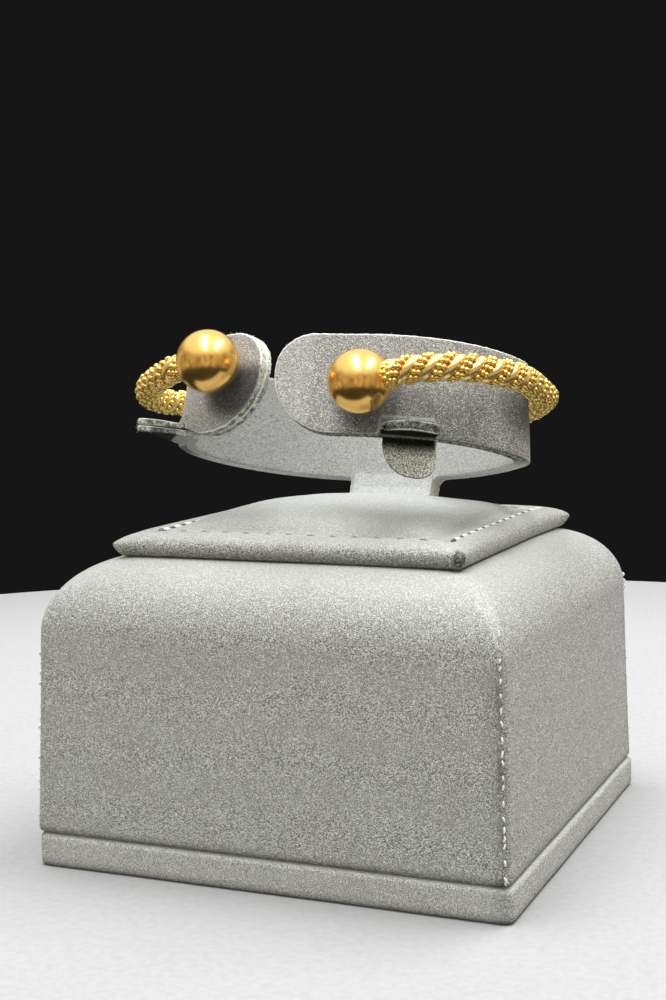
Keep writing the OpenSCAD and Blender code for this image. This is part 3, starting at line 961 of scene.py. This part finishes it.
def arm_line(arm):
    """Stations of an arm's outer lower edge: x, y, heading in degrees, distance from the back's middle."""
    x, y, heading, gone = 0.0, BACK_Y, 0.0, 0.0
    stations = [(x, y, heading, gone)]
    runs = [(radius, angle, math.radians(angle) * radius) for radius, angle in arm.bends]
    runs.append((None, 0, arm.straight))
    for radius, angle, length in runs:
        steps = max(2, round(length * STATIONS_PER_MM))
        x0, y0, (c0, s0) = x, y, direction(heading)
        for k in range(1, steps + 1):
            t = k / steps
            c, s = direction(heading + angle * t)
            if radius is None:
                x = x0 + length * t * c0
                y = y0 - length * t * s0
            else:
                x = x0 - radius * s0 + radius * s
                y = y0 - radius * c0 + radius * c
            stations.append((x, y, heading + angle * t, gone + length * t))
        heading, gone = heading + angle, gone + length
    return stations


def corner_rise(radius, d):
    """How far a rounded corner takes from the wall's height at a distance from the tip."""
    return 0.0 if d >= radius else radius - math.sqrt(radius**2 - (radius - d) ** 2)


def wall_edges(side, gone, total, tab_cut):
    """Lower and upper edge of the wall at a station."""
    arm = ARMS[side]
    d = total - gone
    low = corner_rise(arm.corners[1], d)
    high = BAND_HEIGHT - corner_rise(arm.corners[0], d)
    beyond = gone - NECK_HALF - side * NECK_SHIFT
    if beyond < 0:
        low = -NECK_DROP
    elif beyond < NECK_FILLET:
        low = -corner_rise(NECK_FILLET, beyond)
    past = arm.tab_back - arm.width / 2 - d
    if tab_cut and abs(d - arm.tab_back) < arm.width / 2:
        low = max(low, arm.fold)
    if 0 < past < arm.blend:
        low = max(low, arm.fold * fade(0, arm.blend, past))
    return low, max(high, low + 0.2)


def wall_point(side, station, depth, t):
    x, y, h, _ = station
    inner = depth + max(t, 0) * FLARE
    c, s = direction(h)
    return side * (x - inner * s), y - inner * c + min(t, 0) * NECK_SLOPE, t


def build_wall(inner, tab_sides):
    """A layer's wall, with gaps where the arms named in tab_sides have their tabs cut out."""
    rings = []
    for side in (-1, 1):
        stations = arm_line(ARMS[side])
        own = []
        for station in stations:
            low, high = wall_edges(side, station[3], stations[-1][3], side in tab_sides)
            heights = [low + (high - low) * k / WALL_ROWS for k in range(WALL_ROWS + 1)]
            ring = [wall_point(side, station, inner + LAYER, t) for t in heights]
            own.append(ring + [wall_point(side, station, inner, t) for t in reversed(heights)])
        rings += own[:0:-1] if side == -1 else own
    return np.array(rings).reshape(-1, 3), skin(len(rings), len(rings[0]))


def tab_place(side):
    """Matrix that stands x towards the tip and y outward at the middle of a tab's root."""
    stations = arm_line(ARMS[side])
    want = stations[-1][3] - ARMS[side].tab_back
    x, y, h, _ = min(stations, key=lambda s: abs(s[3] - want))
    # In metres, then in millimetres
    place = Matrix.Translation((x * MM, y * MM, 0)) @ Matrix.Rotation(math.radians(-h), 4, "Z")
    place = np.array(Matrix.Diagonal((side, 1, 1, 1)) @ place)
    place[:3, 3] /= MM
    return place


def placed_slab(side, rings):
    points = moved(np.array(rings).reshape(-1, 3), tab_place(side))
    faces = skin(len(rings), len(rings[0]))
    return points, [f[::side] for f in faces]


def tab_reach(x, width, length, corners):
    """How far a tab with rounded corners reaches at a place across it."""
    edges = zip(corners, (width / 2 - x, width / 2 + x))
    return min(length - corner_rise(corner, max(edge, 0.0)) for corner, edge in edges)


def across_steps(width):
    return width / 2 * np.sin(np.linspace(-math.pi / 2, math.pi / 2, 25))


def right_curl(x, part):
    return RIGHT_SAG * (1 - x * x) * part


def left_curl(x, part):
    return LEFT_WAVE * math.sin(math.pi * part) + LEFT_TWIST * (1 - x) / 2 * min(1, 1.2 * part)


def bent_tab(side, low, depth, curl):
    """A tab that comes down inside its wall and bends outward, its underside at a height."""
    arm = ARMS[side]
    rings = []
    middle = low + arm.thick / 2
    start = TAB_BEND - depth
    for x in across_steps(arm.width):
        line = [(-depth, middle + TAB_BEND + TAB_ROOT)]
        for a in np.linspace(0, math.pi / 2, 9):
            line.append((start - TAB_BEND * math.cos(a), middle + TAB_BEND * (1 - math.sin(a))))
        run = max(tab_reach(x, arm.width, arm.length, arm.tab_corners) - start, 0.3)
        for k in range(1, TAB_STEPS + 1):
            out = run * k / TAB_STEPS
            line.append((start + out, middle - out * arm.drop + curl(x / arm.width * 2, out / arm.length)))
        along = unit(np.gradient(line, axis=0))
        half = np.stack([-along[:, 1], along[:, 0]], 1) * arm.thick / 2
        rings.append([(x, *p) for p in line + half] + [(x, *p) for p in (line - half)[::-1]])
    return placed_slab(side, rings)


def hanging_tongue(side):
    """The tongue cut from the inner layer, which hangs below the band."""
    depth = 1.5 * LAYER + LAYER_GAP + TONGUE_BACK
    rings = []
    for x in across_steps(TONGUE_WIDTH):
        reach = TONGUE_TOP + tab_reach(x, TONGUE_WIDTH, TONGUE_LENGTH, TONGUE_CORNERS)
        heights = [TONGUE_TOP - reach * k / TAB_STEPS for k in range(TAB_STEPS + 1)]
        bends = [TONGUE_BEND * (max(0.0, -z) / TONGUE_LENGTH) ** 2 - depth for z in heights]
        front = [(x + TONGUE_SHIFT, y + TONGUE_THICK / 2, z) for y, z in zip(bends, heights)]
        rings.append(front + [(x, y - TONGUE_THICK, z) for x, y, z in reversed(front)])
    return placed_slab(side, rings)


def fused(name, parts):
    """The parts as one skin, remeshed and smoothed: points, normals and faces."""
    points, faces = merged(parts)
    mesh = bpy.data.meshes.new(name)
    mesh.from_pydata((points * MM).tolist(), [], faces)
    work = bmesh.new()
    work.from_mesh(mesh)
    bmesh.ops.recalc_face_normals(work, faces=work.faces)
    work.to_mesh(mesh)
    work.free()
    made = bpy.data.objects.new(name, mesh)
    bpy.context.scene.collection.objects.link(made)
    remesh = made.modifiers.new("remesh", "REMESH")
    remesh.mode = "VOXEL"
    remesh.voxel_size = VOXEL * MM
    soften = made.modifiers.new("soften", "SMOOTH")
    soften.factor = 0.5
    soften.iterations = SMOOTHINGS
    final = bpy.data.meshes.new_from_object(made.evaluated_get(bpy.context.evaluated_depsgraph_get()))
    bpy.data.objects.remove(made)
    bpy.data.meshes.remove(mesh)
    points, normals = np.empty((2, len(final.vertices), 3))
    final.vertices.foreach_get("co", points.ravel())
    final.vertices.foreach_get("normal", normals.ravel())
    faces = [list(p.vertices) for p in final.polygons]
    bpy.data.meshes.remove(final)
    return points / MM, normals, faces


# Finish of the collar: where its raw, cut and rim places are, and where light and shade are painted on it.
# Each side's edges look raw up to between two places along y, the left side first.
RAW_FADES = ((-16, -12.5), (2, 12))
CUT_DARK_BELOW = (4, 13)
# Share of the lining's paler tone painted on the left arm's outer face as light
LEFT_ARM_PAINTED_LIGHT = 0.22
# How far a tab reaches beyond its width and above and below its fold, and how far its bend does
TAB_SIDE = 0.5
TAB_LEVEL = 4
BEND_REACH = 1.1
# Shares of shade, and the places or parts of a normal between which shares rise or fall
FELT_FACING = (0.3, 0.6)
CUT_FACING = (0.5, 0.8)
FACE_FACING = (0.2, 0.6)
RIM_FACING = (0.35, 0.6), (0.8, 0.95)
TONGUE_SHADE_HIGH = (-3.5, -0.8), (-0.1, 0.3)
TONGUE_SHADE_OUT = (6.5, 8.4)
ROOT_ACROSS = (1, 1.6)
ROOT_OUT = (0.5, 1.3)
OUTER_UNCUT_ABOVE = (0.6, 1.4)
UNDER_SHADE = 0.97
UNDER_FACING = (0.1, 0.5)
UNDER_OUT = (0.2, 1.2)
LIP_SHADE = 0.6
LIP_OUT = (0.5, 1.5), (4.2, 6.2)
FOOT_FACING = (0.3, 0.7)
FOOT_ALONG = (-22, -19.5), (-8, 2)
# By whether the layer is the inner one
FOOT_SHADES = {True: 0.45, False: 0.8}
# Everywhere, and more towards the front
INSIDE_SHADES = (0.3, 0.25)
INSIDE_ACROSS = (-24, 12)
INSIDE_ALONG = (-15, 0)
LOW_EDGE_SHADE = 0.6
LOW_EDGE_BELOW = (2.5, 5)


def tab_view(side, points, normals):
    """Points and normals seen from the root of a tab: across it, outward and up."""
    place = np.linalg.inv(tab_place(side))
    return moved(points, place), normals @ place[:3, :3].T


def facing_out(points, normals):
    """How much each point of a layer faces out of the collar, from -1 to 1; near 0 on a cut edge."""
    facing = np.zeros(len(points))
    best = np.full(len(points), 1e9)
    for side, arm in ARMS.items():
        for x, y, heading, _ in arm_line(arm)[::3]:
            c, s = direction(heading)
            out = np.array((side * s, c))
            away = np.hypot(*(points[:, :2] - (side * x, y) + 2 * out).T)
            facing = np.where(away < best, normals @ (*out, FLARE), facing)
            best = np.minimum(best, away)
    for side, arm in ARMS.items():
        local, turned_normals = tab_view(side, points, normals)
        _, outward, upward = turned_normals.T
        on_tab = np.abs(local[:, 0]) < arm.width / 2 + TAB_SIDE
        on_tab &= np.abs(local[:, 2] - arm.fold) < TAB_LEVEL
        facing = np.where(on_tab & (local[:, 1] > BEND_REACH), upward * 0.98 + outward * arm.drop, facing)
        on_bend = on_tab & (np.abs(local[:, 1]) < BEND_REACH) & (facing > -0.5)
        facing = np.where(on_bend, np.clip(outward + upward, -1, 1), facing)
    return facing


def tongue_shade(points, normals):
    """Shade round the right arm's tongue, under its tab."""
    (x, y, z), half = tab_view(1, points, normals)[0].T, ARMS[1].width / 2
    shade = fade(half, half + 0.5, np.abs(x)) * fade(*TONGUE_SHADE_OUT, y) * (y > -5)
    return shade * between(*TONGUE_SHADE_HIGH, z)


def left_tab_shares(points, normals, inner):
    """Shade on the underside and edge of the left tab, and where the wall at its root is uncut."""
    arm = ARMS[-1]
    local, turned_normals = tab_view(-1, points, normals)
    across, y, z = np.abs(local[:, 0]) - arm.width / 2, local[:, 1], local[:, 2]
    level = np.abs(z - arm.fold) < 5
    root = fade(*ROOT_ACROSS, across) * fade(*ROOT_OUT, y) * level
    if not inner:
        return 0, 1 - root * smooth_step(*OUTER_UNCUT_ABOVE, z - arm.fold)
    under = UNDER_SHADE * smooth_step(*UNDER_FACING, -turned_normals[:, 2]) * smooth_step(*UNDER_OUT, y)
    lip = LIP_SHADE * between(*LIP_OUT, y)
    shade = np.maximum(under, lip) * (level & (across < 0.6))
    return shade, 1 - root * fade(arm.fold - 1, arm.fold, z)


def foot_shade(points, normals):
    """Shade under the left arm's lower edge."""
    x, y, z = points.T
    return smooth_step(*FOOT_FACING, -normals[:, 2]) * between(*FOOT_ALONG, y) * (x < 0) * (z < 2)


def finish_shares(points, normals, inner):
    """Shares for the collar's material, 0 to 1 at every point of a layer, and where its edges are cut."""
    x, y, z = points.T
    facing = facing_out(points, normals)
    backward = facing if inner else -facing
    front = np.where(x < 0, *[fade(*places, y) for places in RAW_FADES])
    tab_shade, uncut = left_tab_shares(points, normals, inner)
    whole_cut = fade(*CUT_FACING, np.abs(facing)) * front
    cut = whole_cut * uncut
    raw = np.maximum(whole_cut, smooth_step(*FELT_FACING, backward) * front) * uncut
    coat = np.where((x < 0) & inner, np.abs(facing), -backward)
    rim = between(*RIM_FACING, coat) * front * uncut
    inside = smooth_step(*FELT_FACING, -facing)
    if inner:
        pale = 1 - uncut
        everywhere, towards_front = INSIDE_SHADES
        wall_shade = everywhere + towards_front * fade(*INSIDE_ALONG, y)
        wall_shade = inside * fade(*INSIDE_ACROSS, x) * wall_shade
    else:
        outside = smooth_step(*FACE_FACING, facing)
        # Painted light on the left arm's outer face
        pale = LEFT_ARM_PAINTED_LIGHT * outside * (x < 0)
        wall_shade = cast_shade(moved(points, in_collar)) * outside
    low_edge = LOW_EDGE_SHADE * cut * (x > 0) * fade(*LOW_EDGE_BELOW, z)
    foot = FOOT_SHADES[inner] * foot_shade(points, normals)
    shades = [tongue_shade(points, normals), tab_shade, foot, wall_shade, low_edge]
    shade = np.maximum.reduce([np.broadcast_to(s, len(points)) for s in shades])
    return {
        "raw": raw,
        "cut": cut * (1 - 0.85 * smooth_step(*CUT_DARK_BELOW, z)),
        # Where the lining's paler tone, painted light, shows
        "lit_lining": np.maximum.reduce([inside, pale, 1 - front]),
        "rim": rim,
        "shade": shade,
    }, cut


# Painted shadows where the balls and the rope lie against the leather, lower right of each
BALL_SHADES = [
    # place from the ball, share, full to, none from, heights between which it fades; left, then right
    ((1.9, 0.5, -2.1), 0.8, 6.1, 9.4, -2.5, 1),
    ((1.1, 0.5, -1.6), 0.6, 6.6, 9.4, 20, 30),
]
ROPE_SHADES = [
    # how far below the rope, full to, none from, share, x where it fades out
    (2.6, 3.4, 8, 0.6, 1000),
    (3.5, 4.3, 7.8, 0.68, 25),
    (8.5, 7, 12.5, 0.42, 25),
]
ROPE_SHADE_FROM = 16


def cast_shade(points):
    shade = np.zeros(len(points))
    for ball, (place, share, full, none, low, high) in zip((BALL_LEFT, BALL_RIGHT), BALL_SHADES):
        away = np.linalg.norm(points - ball - place, axis=1)
        share = share * fade(low, high, points[:, 2] - ball[2])
        shade = np.maximum(shade, share * fade(full, none, away))
    line = ROPE_LINE[ROPE_LINE[:, 0] > ROPE_SHADE_FROM][::8]
    for below, full, none, share, last_x in ROPE_SHADES:
        away = np.min([np.linalg.norm(points - place + (0, 0, below), axis=1) for place in line], axis=0)
        share = share * fade(last_x, last_x + 4, points[:, 0])
        shade = np.maximum(shade, share * fade(full, none, away))
    return shade


# Loose fibres that stand out from the collar's cut edges
FIBRE_COUNT = 90
FIBRE_LENGTHS = (0.12, 0.4)
FIBRES_ABOVE = 60
FIBRE_RADIUS = 0.022
FIBRE_ROOT = 0.05
CUT_LEAST = 0.9
RUFFLE = 0.09
RUFFLE_SIZE = 0.9


def fibre(root, normal, length):
    middle = root + normal * 0.5 * length + shaken(0.3 * length)
    tip = root + normal * 0.75 * length + shaken(0.7 * length)
    return tube(bezier(root - normal * FIBRE_ROOT, middle, tip, 3), FIBRE_RADIUS, 3, 1)


def collar_layer(name, parts, inner, material):
    """A layer of the collar, and loose fibres on its cut edges."""
    points, normals, faces = fused(name, parts)
    shares, cut = finish_shares(points, normals, inner)
    points += normals * (cut * noise_at(points, RUFFLE_SIZE) * RUFFLE)[:, None]
    points, normals = moved(points, in_collar), normals @ in_collar[:3, :3].T
    made = add_object(name, (points, faces), material, "leatherette", **shares)
    edge = [k for k in range(len(points)) if cut[k] > CUT_LEAST and points[k][2] > FIBRES_ABOVE]
    chosen = dice.sample(edge, FIBRE_COUNT)
    return made, [fibre(points[k], normals[k], dice.uniform(*FIBRE_LENGTHS)) for k in chosen]


def build_collar(material, fibre_material):
    left, right = ARMS[-1], ARMS[1]
    middle = LAYER / 2
    outer_parts = [build_wall(0, (1, -1)), bent_tab(1, right.fold, middle, right_curl),
                   bent_tab(-1, left.fold, middle, left_curl)]
    under = left.fold - left.thick - TAB_GAP
    inner_parts = [build_wall(LAYER + LAYER_GAP, ()), bent_tab(-1, under, 3 * middle + LAYER_GAP, left_curl),
                   hanging_tongue(1)]
    outer, outer_fibres = collar_layer("collar_outer", outer_parts, False, material)
    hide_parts("collar_outer_layer")
    inner, inner_fibres = collar_layer("collar_inner", inner_parts, True, material)
    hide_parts("collar_inner_layer")
    add_object("collar_fibres", merged(outer_fibres + inner_fibres), fibre_material, "leatherette")


# Bangle: route of the rope's centre from the left ball round the back to the right ball
BALL_RADIUS = 5.35
BALL_FLAT_AT = 4.85
BALL_RIM = 0.12
BALL_SIDES = 112
BALL_STEPS = 72
SEAT = 4.6
BALL_LEFT = np.array((-16.2, -23.7, 83.9))
BALL_RIGHT = np.array((10.1, -21.3, 80.4))
ROUTE = np.array([
    (-24, -21.5, 82.5), (-28.5, -18, 81), (-33, -13.5, 79.5), (-37, -6.5, 77.5), (-38.5, 2, 76),
    (-35, 11.5, 75), (-26, 20, 73.5), (-13, 26.5, 72), (1.5, 29.5, 71), (15, 29, 71.5),
    (25, 24, 73.5), (30.8, 15.5, 76), (33.1, 5, 77.5), (33.3, -5.5, 80), (31.2, -13, 81.5),
    (26, -18.5, 82.5), (19.5, -21, 82.3),
])
ROUTE_STEP = 0.15
LEAD = 6.95
STRANDS = 2
STRAND_TURN = 2 * math.pi / STRANDS
# Wires: radius, distance from the rope's centre, sides, and step along the rope
SMOOTH_WIRE = (0.98, 1.24, 14, 0.36)
BASE_WIRE = (0.8, 1.1, 8, 0.5)
CORE_WIRE = (0.9, 0, 12, 1)
BEAD_RADIUS = 0.5
BEAD_AT = 2.0
BEAD_PITCH = 1.12
BEAD_SPREAD = 0.34
BEAD_STAGGER = 0.2
BEAD_START = 0.2
BEAD_SHIFT = 0.04
BEAD_SIZES = (0.93, 1.05)
# Distances from the rope's centre between which the painted shade of the recesses fades out
RECESS_SHADE_FADE = (1.6, 2.3)
# Rings of granules at each ball: distance from the rope's end, radius, part of a step they are turned
SEAT_RINGS = ((0.5, 1.98, 0), (1.3, 2.0, 0.5))
SEAT_COUNT = 13


def resampled(values, at, s):
    return np.stack([np.interp(s, at, values[:, k]) for k in range(3)], 1)


def rope_line():
    """Distances along the rope, evenly spaced, with the points and the directions across it there."""
    balls = ((BALL_LEFT, ROUTE[0]), (BALL_RIGHT, ROUTE[-1]))
    ends = [ball + SEAT * unit(near - ball) for ball, near in balls]
    knots = [ends[0], *ROUTE, ends[1]]
    knots = [2 * knots[0] - knots[1], *knots, 2 * knots[-1] - knots[-2]]
    dense = []
    for a, b, c, d in zip(knots, knots[1:], knots[2:], knots[3:]):
        for t in np.linspace(0, 1, 40, endpoint=False):
            bent = (2 * a - 5 * b + 4 * c - d) * t * t + (3 * b - a - 3 * c + d) * t**3
            dense.append(0.5 * (2 * b + (c - a) * t + bent))
    dense = np.array(dense + [knots[-2]])
    gone = np.concatenate([[0], np.cumsum(np.linalg.norm(np.diff(dense, axis=0), axis=1))])
    s = np.arange(0, gone[-1], ROUTE_STEP)
    line = resampled(dense, gone, s)
    return s, line, *frames(line)


ROPE_AT, ROPE_LINE, ROPE_SIDES, ROPE_UPS = rope_line()
ROPE_LENGTH = ROPE_AT[-1]


def on_rope(s, radius, angle):
    """Points at a radius from the rope's centre, and the directions out, at distances and angles."""
    line, sides, ups = [resampled(values, ROPE_AT, s) for values in (ROPE_LINE, ROPE_SIDES, ROPE_UPS)]
    out = unit(np.cos(angle)[:, None] * sides + np.sin(angle)[:, None] * ups)
    return line + radius * out, out


def lay_angle(s, phase):
    """Left-handed lay."""
    return phase - 2 * math.pi * s / LEAD


def rope_wires(name, wires, material):
    """Wires laid round the rope, each a pair of its form and the angle that it starts at."""
    parts, deep = [], []
    for (radius, at, sides, step), phase in wires:
        s = np.arange(0, ROPE_LENGTH, step)
        centre, out = on_rope(s, at, lay_angle(s, phase))
        across = np.cross(unit(np.gradient(centre, axis=0)), out)
        points, faces = swept(centre, out, across, radius, sides)
        middle = np.repeat(centre - at * out, sides, axis=0)
        # Painted shade in the recesses
        deep.append(fade(*RECESS_SHADE_FADE, np.linalg.norm(points - middle, axis=1)))
        parts.append((points, faces))
    return add_object(name, merged(parts), material, "gold", deep=np.concatenate(deep))


def bead_points():
    work = bmesh.new()
    bmesh.ops.create_icosphere(work, subdivisions=2, radius=1)
    points = np.array([v.co for v in work.verts])
    faces = [[v.index for v in f.verts] for f in work.faces]
    work.free()
    return points, faces


BEAD, BEAD_FACES = bead_points()


def beads_mesh(centres, radii):
    points = (centres[:, None] + radii[:, None, None] * BEAD).reshape(-1, 3)
    return points, [[n * len(BEAD) + v for v in f] for n in range(len(centres)) for f in BEAD_FACES]


def granulated_strand(number, material):
    """Two staggered rows of beads between the smooth strands, with painted shade darker towards the rope's
    centre.
    """
    phase = (number - 0.5) * STRAND_TURN
    step = BEAD_PITCH / math.sqrt(1 + (2 * math.pi * BEAD_AT / LEAD) ** 2)
    rows = []
    for row, stagger in ((-1, 0), (1, BEAD_STAGGER)):
        s = np.arange(BEAD_START + stagger * step, ROPE_LENGTH - BEAD_START, step)
        s = s + [dice.uniform(-BEAD_SHIFT, BEAD_SHIFT) for _ in s]
        rows.append(on_rope(s, BEAD_AT, lay_angle(s, phase) + row * BEAD_SPREAD)[0])
    centres = np.concatenate(rows)
    radii = BEAD_RADIUS * np.array([dice.uniform(*BEAD_SIZES) for _ in centres])
    line = ROPE_LINE[::4]
    out = unit([c - line[np.argmin(((line - c) ** 2).sum(1))] for c in centres])
    deep = fade(*RECESS_SHADE_FADE, BEAD_AT + (radii[:, None] * (out @ BEAD.T)).ravel())
    add_object(f"granulated_strand_{number}", beads_mesh(centres, radii), material, "gold", deep=deep)


def build_rope(pale_lit_strand_gold, gold):
    wires = [(SMOOTH_WIRE, n * STRAND_TURN) for n in range(STRANDS)]
    made = rope_wires("smooth_strands", wires, pale_lit_strand_gold)
    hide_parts("bangle_rope")
    bases = [(BASE_WIRE, (n + 0.5) * STRAND_TURN) for n in range(STRANDS)]
    rope_wires("rope_core", [*bases, (CORE_WIRE, 0)], gold)
    for n in range(STRANDS):
        granulated_strand(n + 1, gold)


def seat_beads(gold):
    """Granules that hide the strands' ends against each ball."""
    centres = []
    for start, way in ((0, 1), (ROPE_LENGTH, -1)):
        for distance, radius, turn in SEAT_RINGS:
            angles = 2 * math.pi * (np.arange(SEAT_COUNT) + turn) / SEAT_COUNT
            centres.append(on_rope(np.full(SEAT_COUNT, start + way * distance), radius, angles)[0])
    centres = np.concatenate(centres)
    add_object("seat_granules", beads_mesh(centres, np.full(len(centres), BEAD_RADIUS)), gold, "gold")


def build_ball(name, node, centre, towards, gold):
    """A turned ball with a flat, softly rimmed seat for the rope's end."""
    seat_angle = math.acos(BALL_FLAT_AT / BALL_RADIUS)
    flat = BALL_RADIUS * math.sin(seat_angle)
    profile = [(flat * t, BALL_FLAT_AT) for t in (0.3, 0.6, 0.85)]
    profile += [(flat - BALL_RIM, BALL_FLAT_AT), (flat - 0.3 * BALL_RIM, BALL_FLAT_AT - 0.15 * BALL_RIM)]
    for a in np.linspace(seat_angle + 0.03, math.pi, BALL_STEPS)[:-1]:
        profile.append((BALL_RADIUS * math.sin(a), BALL_RADIUS * math.cos(a)))
    points = np.concatenate([turned(profile, BALL_SIDES), [(0, 0, BALL_FLAT_AT), (0, 0, -BALL_RADIUS)]])
    last = len(points) - 1
    end = last - 1 - BALL_SIDES
    faces = loop_faces(len(profile), BALL_SIDES)
    faces += [[last - 1, (j + 1) % BALL_SIDES, j] for j in range(BALL_SIDES)]
    faces += [[last, end + j, end + (j + 1) % BALL_SIDES] for j in range(BALL_SIDES)]
    turn = np.array(Vector(unit(towards - centre)).to_track_quat("Z", "Y").to_matrix())
    made = add_object(name, (points @ turn.T + centre, faces), gold, "gold")
    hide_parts(node)


def build_stand():
    plinth_low, plinth_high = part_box("stand_plinth")
    _, block_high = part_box("stand_block")
    joint = plinth_high.z / MM - JOINT_DROP
    plinth_form = Board(
        low=plinth_low.z / MM, high=joint, half=block_high.x / MM + PLINTH_PROUD, shift=0, flare=0,
        low_r=0.8, top_r=1.1, corner=1.6, top_corner=1.6, groove=0.12, wave=0.08,
    )
    block_form = Board(
        low=joint + JOINT_GAP, high=block_high.z / MM - TOP_DROP, half=block_high.x / MM + BLOCK_PROUD,
        shift=-0.35, flare=0.5, low_r=0.8, top_r=12, corner=1.6, top_corner=3.6, groove=0.22, wave=0.12,
    )
    leather = leatherette("leatherette")
    plinth = board("plinth_cover", plinth_form, leatherette("plinth_leatherette", PLINTH_LEVELS))
    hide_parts("stand_plinth")
    block = board("block_cover", block_form, leather)
    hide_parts("stand_block")
    pale, grey, dark = [thread_material(name, *tones) for name, *tones in THREADS]
    seam_threads(block_form, pale)
    build_pad(leather)
    pad_threads(dark, grey)
    build_collar(collar_leather("collar_leather"), pale)


def build_bangle():
    pale_lit_strand_gold, rope_gold, ball_gold = [gold_material(*gold) for gold in GOLDS]
    build_rope(pale_lit_strand_gold, rope_gold)
    seat_beads(rope_gold)
    build_ball("ball_left_gold", "ball_left", BALL_LEFT, ROUTE[0], ball_gold)
    build_ball("ball_right_gold", "ball_right", BALL_RIGHT, ROUTE[-1], ball_gold)


add_camera()
add_world()
set_view()
for box in SOFTBOXES:
    add_softbox(*box)
build_floor()
build_stand()
build_bangle()
